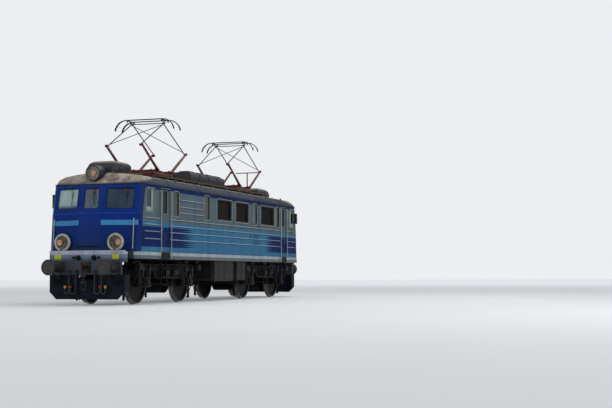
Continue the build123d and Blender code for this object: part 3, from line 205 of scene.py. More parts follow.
def sideFinish(name, worn, door=False):
    paint = Paint(name, 0.02)
    v = livery
    along = paint.x * paint.maths("SIGN", paint.y)
    out = abs(paint.y)
    teeth = paint.zigzag(paint.z - v["lowBlue"], v["tooth"])
    front = (along + teeth * v["frontLength"]).above(v["combFront"], v["combSoft"])
    rear = 1 - (along - teeth * v["rearLength"]).above(v["combRear"], v["combSoft"])
    navy = paint.mix(abs(paint.x).above(v["violetPlace"], 0.05), v["navy"], v["violet"])
    blue = paint.patches(0.9, v["blue"], v["sky"], 0.6, 3.0)
    low = paint.mix(paint.most(front, rear) * paint.z.between(v["lowBlue"], v["navyTop"]), blue, navy)
    upper = paint.patches(0.7, v["grey"], v["pale"], 0.5, 3.0)
    both = paint.mix(paint.z.above(v["blueTop"]), low, upper)
    colour = paint.mix(paint.z.above(v["cantrail"]), both, v["rail"])
    colour = grime(paint, colour, worn, 0.10, 1.7, 0.03)
    rough = 0.36 + paint.noise(0.3, 4.0) * 0.25
    if door:
        # painted shade: the door's edge faces, in the gap round the door, are painted near black
        edges = 1 - out.above(v["doorEdge"], v["thin"])
    else:
        # ribs catch the light along their upper slope and shade their lower one
        proud = out.above(v["ribFace"], 0.001)
        half = v["ribHalf"]
        for level in v["ribs"]:
            for foot, shade, strength in ((level, v["ribLight"], 0.8), (level - half, v["ribDark"], 0.6)):
                slope = paint.z.between(foot, foot + half, v["ribSoft"])
                colour = paint.mix(proud * slope * strength, colour, shade)
        # painted shade: the insides of the louvre recesses are painted near black
        edges = out.between(*v["recess"], v["thin"])
    colour = paint.mix(edges, colour, v["edge"])
    if door:
        beside = 1 - abs(abs(paint.x) - plan["doorX"]).above(v["paneHalf"], v["paneEdge"])
        pane = beside * paint.z.between(v["paneLow"], v["paneHigh"], v["paneEdge"])
        film = paint.mix(paint.noise(0.3, 4.0).above(0.5, 0.5) * 0.35, v["pane"], v["paneFilm"])
        colour = paint.mix(pane, colour, film)
        rough = rough * (1 - pane) + pane * 0.12
        paint.feed(paint.shader.inputs["Alpha"], 1 - pane * 0.22)
    return paint.finish(colour, rough, 0.0, paint.noise(0.25, 2.0), 0.003)


nose = {
    "stripe": (2.298, 2.444), "stripeReach": (0.36, 1.388), "postStart": 1.369, "browZ": 3.40,
    "shadeZ": 2.15, "sootZ": 1.72, "blue": "#00297a", "deep": "#00235c", "post": "#09275f",
    "stripeBlue": "#3f86b8", "brow": "#00205e", "faded": "#123b88", "soot": "#30364a",
}


def frontFinish():
    paint = Paint("frontPaint", 0.06)
    v = nose
    across = abs(paint.y)
    band = paint.z.between(*v["stripe"]) * across.between(*v["stripeReach"])
    shade = paint.mix(1 - paint.z.above(v["shadeZ"], 1.0), v["blue"], v["deep"])
    shade = paint.mix(paint.z.above(v["browZ"], 0.03), shade, v["brow"])
    base = paint.mix(across.above(v["postStart"]), shade, v["post"])
    cloud = paint.noise(0.5, 4.0)
    base = paint.mix(cloud.above(0.6, 0.3) * 0.25, base, v["faded"])
    colour = paint.mix(band, base, v["stripeBlue"])
    # exhaust and brake dust gather between the lamps and above the beam
    low = (1 - paint.z.above(v["sootZ"], 0.3)) * paint.noise(0.22, 4.0).above(0.45, 0.3)
    colour = grime(paint, paint.mix(low * 0.3, colour, v["soot"]), 0.22, 0.08, 1.6, 0.04)
    return paint.finish(colour, 0.34 + cloud * 0.22, 0.0, paint.noise(0.3, 2.0), 0.003)


roofTones = {
    "beige": "#82786f", "cream": "#b8a999", "grey": "#2b3543", "slate": "#1b2431", "brown": "#3a3029",
    "beigeEnd": 5.35, "browHeight": 3.60, "browPlace": 6.45, "browSlope": 0.17, "topEdge": 3.79,
    "edgeLine": (3.748, 3.80), "seam": 0.72,
}


def roofFinish():
    paint = Paint("roofPaint", 0.2)
    v = roofTones
    along = abs(paint.x)
    grey = paint.patches(0.8, v["slate"], v["grey"], 0.4, 5.0)
    beige = paint.patches(0.35, v["beige"], v["cream"], 0.4, 5.0)
    # the pale brow climbs from the gutter over the windscreens to the edge of the roof behind the cab
    edge = paint.z - v["browHeight"] - (v["browPlace"] - along) * v["browSlope"]
    brow = along.above(v["beigeEnd"], 0.7) * edge.above(0.0, 0.07)
    # the top of the roof is paler than its sides: partly dusty paint, partly a painted highlight where the
    # light falls on the top
    colour = paint.mix(paint.most(paint.z.above(v["topEdge"], 0.05), brow), grey, beige)
    # painted highlight: a cream line along the shoulder of the roof, under the walkways
    colour = paint.mix(paint.z.between(*v["edgeLine"]) * 0.7, colour, v["cream"])
    colour = paint.mix(paint.noise(0.2, 5.0, (0.3, 1, 1)).above(0.57, 0.2) * 0.6, colour, v["brown"])
    seams = paint.maths("PINGPONG", paint.x, v["seam"])
    colour = paint.mix((1 - seams.above(0.008)) * 0.5, colour, v["brown"])
    bump = seams.above(0.012, 0.01) + paint.noise(0.3) * 0.5
    return paint.finish(colour, 0.6 + paint.noise(0.3) * 0.2, 0.0, bump, 0.005)


beam = {
    "white": "#abb4b9", "grey": "#8f989f", "green": "#59646a", "moss": "#4a5558", "lilac": "#bcc1d2",
    "worn": "#989eb4", "steel": "#232c3a", "blue": "#2f4058", "pale": "#6c7890", "under": "#15191d",
    "bandLow": 1.437, "beamTop": 1.452, "beamMiddle": 1.345, "beamPlace": 7.1, "sillFace": 1.30,
}


def sillFinish():
    paint = Paint("sillPaint", 0.25)
    v = beam
    white = paint.patches(0.5, v["white"], v["grey"], 0.5, 3.0)
    green = paint.patches(0.3, v["green"], v["moss"], 0.5, 3.0)
    sill = paint.mix(paint.z.above(v["bandLow"]), green, white)
    headstock = abs(paint.x).above(v["beamPlace"], 0.02)
    pale = paint.z.above(v["beamMiddle"], 0.10) * (0.45 + paint.noise(0.35, 4.0))
    face = paint.mix(pale, paint.patches(0.25, v["steel"], v["blue"], 0.4, 3.0), v["pale"])
    face = paint.mix(paint.z.above(v["beamTop"]), face, paint.patches(0.3, v["lilac"], v["worn"], 0.5, 3.0))
    colour = paint.mix(headstock, sill, face)
    # painted shade: the underside of the floor and the inner faces of the sill, under the body, are painted
    # near black
    inside = 1 - abs(paint.y).above(v["sillFace"], 0.02)
    under = paint.most(1 - paint.z.above(plan["floorZ"], 0.004), inside * (1 - headstock))
    colour = paint.mix(under * (1 - headstock), colour, v["under"])
    colour = grime(paint, colour, 0.45, 0.3, 1.2)
    return paint.finish(colour, 0.5, 0.0, paint.noise(0.2), 0.003)


def plainFinish(name, first, second, rough, size, metal=0.0, rust=0.0, dust=0.0, dustTone="#48413a",
                gloss=0.3):
    # two close colours in patches, with rust in spots and dust where asked
    paint = Paint(name, gloss)
    colour = paint.patches(size, first, second)
    if rust:
        spots = paint.noise(size * 0.4, 6.0).above(0.58, 0.12)
        colour = paint.mix(spots * rust, colour, "#4a2b1d")
    if dust:
        film = paint.noise(size * 1.7, 5.0).above(0.48, 0.35)
        colour = paint.mix(film * dust, colour, dustTone)
    grain = paint.noise(size * 0.12, 4.0)
    return paint.finish(colour, rough + (paint.noise(size * 0.7, 3.0) - 0.5) * 0.2, metal, grain, 0.002)


glass = {
    "front": "#1c3046", "pale": "#3a5364", "bright": "#b4cdc8", "side": "#121919", "olive": "#2c342d",
    "cab": "#0c1016", "cabPlace": 5.9, "frontPlace": 6.66, "brightReach": (0.45, 1.22), "brightLow": 2.86,
    "haze": "#55574f",
}


def windowFinish():
    # pale reflections in the front windows, dark olive glass in the side ones
    paint = Paint("windowGlass", 0.3)
    v = glass
    film = paint.noise(0.35, 4.0)
    sheen = paint.noise(0.5, 3.0, (1, 1, 0.5)).above(0.5, 0.3)
    front = paint.mix(sheen * 0.7, v["front"], v["pale"])
    # the pane on the driver's mate's side is paler where daylight comes through the cab
    turned = 0 - paint.y * paint.maths("SIGN", paint.x)
    far = turned.between(*v["brightReach"], 0.10) * paint.z.above(v["brightLow"], 0.10)
    front = paint.mix(far * (0.50 + sheen * 0.5), front, v["bright"])
    side = paint.mix(film.above(0.5, 0.5), v["side"], v["olive"])
    # painted shade: the cab side panes are painted nearly black for the dark cab behind them
    side = paint.mix(abs(paint.x).above(v["cabPlace"], 0.02), side, v["cab"])
    paint.feed(paint.shader.inputs["Alpha"], 0.80 + (film - 0.5) * 0.2)
    return paint.finish(paint.mix(abs(paint.x).above(v["frontPlace"], 0.02), side, front), 0.06 + film * 0.08)


def tintedGlass(name, colour, clear, rough=0.07):
    paint = Paint(name, 0.5)
    film = paint.noise(0.12, 4.0)
    paint.feed(paint.shader.inputs["Alpha"], clear + (film - 0.5) * 0.15)
    return paint.finish(paint.mix(film.above(0.5, 0.5) * 0.4, colour, glass["haze"]), rough + film * 0.06)


drum = {
    "bowl": 0.191, "ringIn": 7.175, "roofHeight": 2.6, "roofBowlEdge": 0.206, "cream": "#bdb8a4",
    "worn": "#959183", "blue": "#08265e", "bowlGrey": "#52483f", "warm": "#d39a6c", "red": "#1c0f0f",
    "roofDrum": "#202329", "roofBowl": "#857a70",
}


def lampFinish():
    # cream ring round each headlamp, body blue behind it, a grey bowl with a warm outer and a red inner light
    paint = Paint("lampPaint", 0.3)
    v = drum
    across = abs(paint.y) - plan["lampY"]
    up = paint.z - plan["lampZ"]
    shell = paint.mix(abs(paint.x).above(v["ringIn"], 0.004), v["blue"],
                      paint.patches(0.1, v["cream"], v["worn"], 0.4, 3.0))
    inside = 1 - paint.reach(across, up).above(v["bowl"], 0.003)
    light = paint.mix(across.above(0.0, 0.004), v["red"], v["warm"])
    bulb = paint.most(*(1 - paint.reach(across - gap, up).above(plan["bulb"], 0.002)
                        for gap in (plan["bulbGap"], -plan["bulbGap"])))
    lower = paint.mix(inside, shell, paint.mix(bulb, v["bowlGrey"], light))
    top = paint.reach(abs(paint.y), paint.z - plan["roofLampZ"])
    upper = paint.mix(1 - top.above(v["roofBowlEdge"], 0.003), v["roofDrum"], v["roofBowl"])
    upper = paint.mix(1 - top.above(plan["bulb"], 0.002), upper, v["warm"])
    colour = paint.mix(paint.z.above(v["roofHeight"]), lower, upper)
    return paint.finish(colour, 0.4, 0.0, paint.noise(0.05))


wheel = {
    "black": "#0f0f11", "brown": "#1a1715", "tread": "#6a6663", "grease": "#100e0d", "treadEdge": 0.612,
    "greaseReach": (0.2, 0.45),
}


def wheelFinish(name, centre):
    paint = Paint(name, 0.15)
    v = wheel
    radius = paint.reach(paint.x - centre, paint.z - plan["wheelZ"])
    tread = radius.above(v["treadEdge"])
    colour = paint.mix(tread, paint.patches(0.08, v["black"], v["brown"], 0.3, 5.0), v["tread"])
    greasy = radius.between(*v["greaseReach"], 0.12) * paint.noise(0.05, 4.0).above(0.5, 0.4)
    colour = paint.mix(greasy * 0.6, colour, v["grease"])
    return paint.finish(colour, 0.62 - tread * 0.35, tread * 0.8, paint.noise(0.02))


def bufferFinish():
    # black sleeves with the heads' faces rubbed to greasy steel
    paint = Paint("bufferBlack", 0.3)
    face = abs(paint.x).above(7.9440, 0.001)
    radius = paint.reach(abs(paint.y) - plan["bufferY"], paint.z - plan["bufferZ"])
    rubbed = face * (1 - radius.above(0.17, 0.09))
    colour = paint.mix(rubbed, paint.patches(0.12, "#17191e", "#282725"),
                       paint.patches(0.06, "#2b2a2a", "#45413e", 0.3))
    return paint.finish(colour, 0.55 - rubbed * 0.15, rubbed * 0.6, paint.noise(0.03))


def boxFinish():
    # dark boxes, whose doors are a little browner in patches
    paint = Paint("boxPaint", 0.08)
    door = abs(paint.y).above(1.4405, 0.001)
    colour = paint.mix(door, "#1e1e1e", paint.patches(0.3, "#282826", "#1f1f1e", 0.5))
    return paint.finish(grime(paint, colour, 0.4, 0.3, 1.1, 0.04), 0.6, 0.0, paint.noise(0.05))


hood = {
    "topZ": 4.165, "topPlace": 5.2, "hornY": 0.44, "hornZ": 3.90, "dark": "#1d2026", "grey": "#33363d",
    "beige": "#a0917f", "worn": "#7d7268", "rust": "#3c2d26",
}


def hoodFinish():
    # dark hoods with a pale top, a painted highlight where light falls on it, and the horns beside them in
    # the roof's beige
    paint = Paint("hoodPaint", 0.15)
    v = hood
    # painted highlight: the top of each hood near the cab is painted pale beige
    pale = paint.z.above(v["topZ"], 0.05) * abs(paint.x).above(v["topPlace"], 0.02)
    horn = abs(paint.y).above(v["hornY"], 0.01) * (1 - paint.z.above(v["hornZ"], 0.02))
    colour = paint.mix(paint.most(pale, horn), paint.patches(0.25, v["dark"], v["grey"]),
                       paint.patches(0.15, v["beige"], v["worn"]))
    colour = paint.mix(paint.noise(0.1, 6.0).above(0.6, 0.1) * 0.5, colour, v["rust"])
    return paint.finish(colour, 0.5, 0.0, paint.noise(0.04))


def hoseFinish():
    # black rubber with red and yellow couplings at the ends
    paint = Paint("hoseRubber", 0.3)
    head = paint.z.between(0.494, 0.572, 0.004)
    across = abs(paint.y)
    base = paint.patches(0.05, "#15161a", "#25262a", 0.3)
    colour = paint.mix(head * across.between(0.42, 0.53), base, "#7c1d1a")
    colour = paint.mix(head * across.above(0.59), colour, "#b0912b")
    return paint.finish(colour, 0.6, 0.0, paint.zigzag(paint.z, 0.02))


finishes = {
    "sides": sideFinish("sidePaint", 0.30),
    "doors": sideFinish("doorPaint", 0.25, True),
    "front": frontFinish(),
    "glass": windowFinish(),
    "lampGlass": tintedGlass("lampGlass", "#7d7a70", 0.10, 0.04),
    "grilles": plainFinish("grillePaint", "#1d1a19", "#2a2422", 0.6, 0.3, dust=0.2),
    "roof": roofFinish(),
    "walkway": plainFinish("walkwayBoards", "#6d5d4d", "#4b4037", 0.85, 0.2, dust=0.3),
    "sill": sillFinish(),
    "deflector": plainFinish("deflectorPaint", "#0d1319", "#19232d", 0.6, 0.26, rust=0.12, dust=0.2,
                             dustTone="#292b31", gloss=0.04),
    "buffer": bufferFinish(),
    "hook": plainFinish("hookIron", "#1f1d1c", "#2c2723", 0.5, 0.08, metal=0.5, rust=0.4),
    "lamp": lampFinish(),
    "rail": plainFinish("railPaint", "#a3a9aa", "#868c8d", 0.45, 0.2, rust=0.1),
    "pale": plainFinish("frameGrey", "#8a968f", "#78847f", 0.5, 0.2),
    "black": plainFinish("bogieBlack", "#0b0d11", "#14171c", 0.55, 0.35, rust=0.10, dust=0.15,
                         dustTone="#33322f", gloss=0.05),
    "iron": plainFinish("axleboxIron", "#13151a", "#212325", 0.5, 0.12, rust=0.2, dust=0.2,
                        dustTone="#46433e", gloss=0.08),
    "spring": plainFinish("springSteel", "#1b1b1f", "#2b2826", 0.45, 0.06, rust=0.3, dust=0.2),
    "cab": plainFinish("cabPaint", "#4e574c", "#414940", 0.6, 0.3),
    "machine": plainFinish("machinePaint", "#323637", "#282b2c", 0.7, 0.3),
    "boxes": boxFinish(),
    "insulator": plainFinish("insulatorGlaze", "#4a1c14", "#38130d", 0.2, 0.08, dust=0.2),
    "red": plainFinish("pantographRed", "#641f1b", "#431614", 0.45, 0.12, rust=0.2),
    "dark": plainFinish("pantographDark", "#201a1b", "#151214", 0.5, 0.1, rust=0.2),
    "cover": plainFinish("resistorCovers", "#262a33", "#1c1f26", 0.6, 0.3, rust=0.15, dust=0.25),
    "hood": hoodFinish(),
    "hose": hoseFinish(),
    "rubber": plainFinish("gasketRubber", "#14161a", "#1d1f24", 0.75, 0.1),
    # paler blue than the nose: a painted highlight along the nose mouldings
    "blueTrim": plainFinish("blueTrim", "#2450a0", "#123a86", 0.45, 0.2, gloss=0.15),
    "seal": plainFinish("blueBlackSeal", "#0c1a3c", "#0a1430", 0.6, 0.2, gloss=0.1),
    "plate": plainFinish("blankPlate", "#aeba18", "#98a416", 0.5, 0.1),
    "stepBox": plainFinish("stepBoxBlack", "#15171b", "#232529", 0.6, 0.15, dust=0.2, gloss=0.1),
    "warmLamp": plainFinish("amberReflector", "#e8b48c", "#c58a5c", 0.3, 0.03, gloss=0.5),
    "darkLamp": plainFinish("darkRedReflector", "#1e0f0e", "#120909", 0.3, 0.03, gloss=0.5),
    "copper": plainFinish("contactStrip", "#2a2624", "#4a3a30", 0.4, 0.05, metal=0.5),
    "redGlass": tintedGlass("redGlass", "#5e1412", 0.92),
    "mirrorGlass": plainFinish("mirrorGlass", "#5a6670", "#4b5660", 0.08, 0.2, metal=0.9),
}
axles = (plan["halfBase"], -plan["halfBase"])
wheelPlaces = [end * plan["pivot"] + axle for end in (1, -1) for axle in axles]
for number, centre in enumerate(wheelPlaces):
    finishes["wheel" + str(number + 1)] = wheelFinish("wheelSteel" + str(number + 1), centre)

nodeFinish = {
    "side_left": "sides", "side_right": "sides", "cab_front": "front", "cab_rear": "front",
    "window_glass": "glass", "intake_grilles": "grilles", "roof": "roof", "roof_walkways": "walkway",
    "underframe": "sill", "deflectors": "deflector", "buffers": "buffer", "couplings": "hook",
    "headlamps": "lamp", "lamp_glass": "lampGlass", "handrails": "rail", "door_steps": "black",
    "cab_bulkheads": "cab", "cab_fittings": "cab", "machine_block": "machine", "battery_boxes": "boxes",
    "air_reservoirs": "black", "roof_insulators": "insulator", "pantograph_bases": "red",
    "roof_busbars": "red", "resistor_hoods": "cover", "cab_hoods": "hood", "mirrors": "rubber",
    "brake_hoses": "hose", "door_front_left": "doors", "door_front_right": "doors",
    "door_rear_left": "doors", "door_rear_right": "doors",
}
for end in ("front", "rear"):
    for node, finish in (("bogie_frame_", "black"), ("axleboxes_", "iron"), ("springs_", "spring"),
                         ("motors_", "black"), ("brake_gear_", "iron"), ("pantograph_head_", "dark")):
        nodeFinish[node + end] = finish
    for arm in ("fore", "aft"):
        nodeFinish["lower_arms_" + end + "_" + arm] = "red"
        nodeFinish["upper_arms_" + end + "_" + arm] = "dark"
for number in range(1, 5):
    nodeFinish["wheelset_" + str(number)] = "wheel" + str(number)
for name, item in frame["nodes"].items():
    for holder in item.material_slots:
        holder.material = finishes[nodeFinish[name]]
print("stage: finishes on the packed pieces")


def near(middle, half):
    return (middle - half, middle + half)


def ringFrom(axis, radius, count, start=0.0):
    # steps from the middle to points on a circle about an axis
    side = axis.orthogonal().normalized()
    other = axis.cross(side)
    angles = [start + 2 * math.pi * k / count for k in range(count)]
    return [radius * (math.cos(a) * side + math.sin(a) * other) for a in angles]


def around(centre, axis, radius, count, start=0.0):
    return [Vector(centre) + step for step in ringFrom(Vector(axis).normalized(), radius, count, start)]


def spaced(start, end, count):
    start, end = Vector(start), Vector(end)
    return [start.lerp(end, k / (count - 1)) for k in range(count)]


def turned(points, along, across):
    return [(along * x, across * y, z) for x, y, z in points]


class Bench:
    # gathers shapes into one mesh and makes the piece from it
    def __init__(self):
        self.bm = bmesh.new()
        self.at()

    def at(self, x=0.0, along=1, across=1):
        # the next shapes are moved by x, and mirrored along and across the locomotive where these are -1
        self.x = x
        self.along = along
        self.across = across
        return self

    def way(self, p):
        return Vector((self.along * p[0], self.across * p[1], p[2]))

    def spot(self, p):
        return Vector((self.x + self.along * p[0], self.across * p[1], p[2]))

    def block(self, xs, ys, zs, bevel=0.0):
        opposite = [self.spot(p) for p in zip(xs, ys, zs)]
        low, high = [Vector([f(pair) for pair in zip(*opposite)]) for f in (min, max)]
        made = bmesh.ops.create_cube(self.bm, size=1.0)["verts"]
        for v in made:
            v.co = Vector([m + c * s for m, c, s in zip((low + high) / 2, v.co, high - low)])
        if bevel:
            edges = list({e for v in made for e in v.link_edges})
            bmesh.ops.bevel(self.bm, geom=edges, offset=bevel, segments=2, profile=0.5, affect="EDGES")

    def skinned(self, rings, closed=False):
        # faces between rings of vertices, with flat ends unless the last ring joins the first
        for first, second in list(zip(rings, rings[1:])) + ([(rings[-1], rings[0])] if closed else []):
            for k in range(len(first)):
                n = (k + 1) % len(first)
                self.bm.faces.new((first[k], first[n], second[n], second[k]))
        if not closed:
            self.bm.faces.new(list(reversed(rings[0])))
            self.bm.faces.new(rings[-1])

    def tube(self, points, radius, sides=8, closed=False):
        points = [self.spot(p) for p in points]
        count = len(points)
        rings = []
        side = None
        for i, point in enumerate(points):
            before = points[i - 1] if i or closed else point
            after = points[(i + 1) % count] if i + 1 < count or closed else point
            run = (after - before).normalized()
            if side is None:
                side = run.orthogonal().normalized()
            side = (side - run * side.dot(run)).normalized()
            other = run.cross(side)
            rings.append([self.bm.verts.new(point + radius * (math.cos(a) * side + math.sin(a) * other))
                          for a in [2 * math.pi * k / sides for k in range(sides)]])
        self.skinned(rings, closed)

    def ring(self, y, outline, radius):
        # a closed tube along an outline that stands at one distance from the middle
        self.tube([(x, y, z) for x, z in outline], radius, 6, True)

    def lathe(self, centre, axis, outline, steps=24):
        # outline: pairs of (distance along the axis, radius)
        axis = self.way(axis).normalized()
        centre = self.spot(centre)
        self.skinned([[self.bm.verts.new(centre + axis * reach + step)
                       for step in ringFrom(axis, max(radius, 0.0002), steps)] for reach, radius in outline])

    def prism(self, outline, run):
        # a flat outline pushed along a run
        low = [self.spot(p) for p in outline]
        self.skinned([[self.bm.verts.new(p + move) for p in low] for move in (Vector(), self.way(run))])

    def make(self, name, finish, slot, body="carbody", smooth=True):
        # each shape is turned outward before shapes that touch are joined
        bmesh.ops.recalc_face_normals(self.bm, faces=self.bm.faces)
        bmesh.ops.remove_doubles(self.bm, verts=self.bm.verts, dist=0.00001)
        mesh = bpy.data.meshes.new(name)
        self.bm.to_mesh(mesh)
        self.bm.free()
        mesh.materials.append(finishes[finish])
        settle(mesh, name, body, smooth)


def addObject(name, data):
    made = bpy.data.objects.new(name, data)
    bpy.context.scene.collection.objects.link(made)
    return made


def settle(mesh, name, body, smooth):
    piece = addObject(name, mesh)
    for face in mesh.polygons:
        face.use_smooth = smooth
    if smooth:
        mesh.set_sharp_from_angle(angle=math.radians(35))
    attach(piece, body)
    return piece


class Graph:
    # one Geometry Nodes tree with named inputs, which ends in Realize Instances and Set Material
    def __init__(self, name, inputs):
        self.tree = bpy.data.node_groups.new(name, "GeometryNodeTree")
        face = self.tree.interface
        face.new_socket("Geometry", in_out="INPUT", socket_type="NodeSocketGeometry")
        face.new_socket("Geometry", in_out="OUTPUT", socket_type="NodeSocketGeometry")
        self.ids = {}
        for label, value in inputs.items():
            kind = "NodeSocketVector" if isinstance(value, tuple) else "NodeSocketFloat"
            made = face.new_socket(label, in_out="INPUT", socket_type=kind)
            made.default_value = value
            self.ids[label] = made.identifier
        self.start = self.tree.nodes.new("NodeGroupInput")
        self.end = self.tree.nodes.new("NodeGroupOutput")

    def node(self, kind, inputs, settings={}):
        made = self.tree.nodes.new(kind)
        for key, value in settings.items():
            setattr(made, key, value)
        for key, value in inputs.items():
            if isinstance(value, bpy.types.NodeSocket):
                self.tree.links.new(value, made.inputs[key])
            else:
                made.inputs[key].default_value = value
        return made

    def given(self, label):
        return self.start.outputs[label]

    def scatter(self, shape):
        # the shape on every point, turned by the Turn input where the tree has one
        inputs = {"Points": self.given("Geometry"), "Instance": shape.outputs[0]}
        if "Turn" in self.ids:
            inputs["Rotation"] = self.given("Turn")
        placed = self.node("GeometryNodeInstanceOnPoints", inputs)
        real = self.node("GeometryNodeRealizeInstances", {"Geometry": placed.outputs[0]})
        self.painted = self.node("GeometryNodeSetMaterial", {"Geometry": real.outputs[0]})
        self.tree.links.new(self.painted.outputs[0], self.end.inputs[0])

    def grow(self, points, values, name, finish, slot, body="carbody", smooth=True):
        # the points carry the tree, and its result becomes a plain mesh
        self.painted.inputs["Material"].default_value = finishes[finish]
        seedMesh = bpy.data.meshes.new(name + "Seeds")
        seedMesh.from_pydata([tuple(p) for p in points], [], [])
        seedObject = addObject(name + "Seeds", seedMesh)
        modifier = seedObject.modifiers.new("grow", "NODES")
        modifier.node_group = self.tree
        for label, value in values.items():
            modifier[self.ids[label]] = value
        bpy.context.view_layer.update()
        ready = seedObject.evaluated_get(bpy.context.evaluated_depsgraph_get())
        mesh = bpy.data.meshes.new_from_object(ready)
        bpy.data.objects.remove(seedObject)
        mesh.name = name
        return settle(mesh, name, body, smooth)


ends = ((1, "front"), (-1, "rear"))
corners = [(end, side) for end in (1, -1) for side in (1, -1)]
quarter = math.pi / 2
turns = {"x": (0.0, quarter, 0.0), "y": (quarter, 0.0, 0.0), "z": (0.0, 0.0, 0.0)}
alongAxis, acrossAxis, upAxis = (1, 0, 0), (0, 1, 0), (0, 0, 1)

# coil springs beside the axleboxes and between the pantograph shafts
coil = {
    "low": 0.563, "high": 1.0097, "radius": 0.066, "wire": 0.015, "turns": 6.5, "spread": 0.285,
    "across": 1.04,
}
coilGraph = Graph("coilSprings", {"Radius": coil["radius"], "Wire": coil["wire"], "Height": 0.4,
                                  "Turns": coil["turns"], "Turn": turns["z"]})
spiral = coilGraph.node("GeometryNodeCurveSpiral", {
    "Resolution": 18, "Rotations": coilGraph.given("Turns"), "Start Radius": coilGraph.given("Radius"),
    "End Radius": coilGraph.given("Radius"), "Height": coilGraph.given("Height")})
section = coilGraph.node("GeometryNodeCurvePrimitiveCircle",
                         {"Resolution": 8, "Radius": coilGraph.given("Wire")}, {"mode": "RADIUS"})
coilGraph.scatter(coilGraph.node("GeometryNodeCurveToMesh", {
    "Curve": spiral.outputs[0], "Profile Curve": section.outputs[0], "Fill Caps": True}))
for end, endName in ends:
    seats = [(end * plan["pivot"] + axle * plan["halfBase"] + turn * coil["spread"], side * coil["across"],
              coil["low"] + coil["wire"]) for axle in (1, -1) for side in (1, -1) for turn in (1, -1)]
    height = coil["high"] - coil["low"] - 2 * coil["wire"]
    springs = coilGraph.grow(seats, {"Radius": coil["radius"], "Wire": coil["wire"], "Height": height,
                                     "Turns": coil["turns"]},
                             "coilSprings_" + endName, "spring", "bogie_paint", "bogie_" + endName)
    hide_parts("springs_" + endName)
print("stage: springs wound")

# domed rivets, and hexagon bolt heads standing on a face
rivetGraph = Graph("rivetRows", {"Radius": 0.012})
rivetGraph.scatter(rivetGraph.node("GeometryNodeMeshIcoSphere", {"Radius": rivetGraph.given("Radius"),
                                                                 "Subdivisions": 1}))
boltGraph = Graph("boltHeads", {"Radius": 0.014, "Depth": 0.012, "Turn": turns["z"]})
boltGraph.scatter(boltGraph.node("GeometryNodeMeshCylinder", {
    "Vertices": 6, "Radius": boltGraph.given("Radius"), "Depth": boltGraph.given("Depth")}))


def rivets(points, radius, name, finish, slot):
    rivetGraph.grow(points, {"Radius": radius}, name, finish, slot)


def bolts(points, axis, radius, depth, name, finish, slot, body="carbody"):
    values = {"Radius": radius, "Depth": depth, "Turn": turns[axis]}
    boltGraph.grow(points, values, name, finish, slot, body, False)


# small fittings of the bogies, in metres from the bogie's centre: blocks as reaches along, across and up with
# a bevel, and turned parts as (distance along the axis, radius)
bogie = {
    "face": 1.095, "boxFace": 1.160, "coverFace": 1.200, "boltCircle": 0.092, "boltCount": 8,
    "topFlange": (near(0, 2.12), (1.095, 1.121), (1.166, 1.190), 0.003),
    "bellyFlange": (near(0, 0.88), (1.095, 1.121), (0.760, 0.784), 0.003),
    "endFlange": ((1.08, 2.225), (1.095, 1.121), (1.010, 1.032), 0.003),
    "slope": ((0.88, 1.095, 0.760), (1.08, 1.095, 1.010), (1.062, 1.095, 1.030), (0.862, 1.095, 0.784)),
    "lip": 0.026, "ribs": ((0.30, 0.786), (0.66, 0.786), (1.24, 1.034), (1.86, 1.034)),
    "eye": ((0, 0.046), (0.022, 0.046), (0.024, 0.040), (0.018, 0.024), (0.018, 0.001)),
    "guardIron": ((2.250, 2.272), (0.72, 0.80), (0.13, 1.125), 0.004),
    "guardBracket": ((2.228, 2.250), (0.72, 0.80), (1.03, 1.12), 0.003),
    "cover": ((-0.002, 0.070), (0.008, 0.070), (0.014, 0.060), (0.016, 0.024), (0.022, 0.020),
        (0.024, 0.001)),
    "damper": ((0, 0.030), (0.13, 0.030), (0.14, 0.022), (0.141, 0.016), (0.255, 0.016), (0.262, 0.022),
        (0.272, 0.022)),
    "cylinder": ((0, 0.060), (0.012, 0.084), (0.05, 0.088), (0.24, 0.088), (0.245, 0.100), (0.262, 0.100),
        (0.266, 0.040), (0.30, 0.034), (0.31, 0.001)),
    "rod": ((0.47, 1.178, 0.955), (0.80, 1.178, 0.955)),
    "lever": ((0.80, 1.178, 0.985), (0.80, 1.178, 0.80), (0.80, 1.10, 0.80)),
    "airPipe": ((0.24, 1.178, 1.04), (0.24, 1.178, 1.10), (0.27, 1.140, 1.135), (2.05, 1.140, 1.135)),
    "sandX": 2.0925,
    "sandLid": ((0, 0.052), (0.012, 0.052), (0.018, 0.044), (0.020, 0.001)),
}
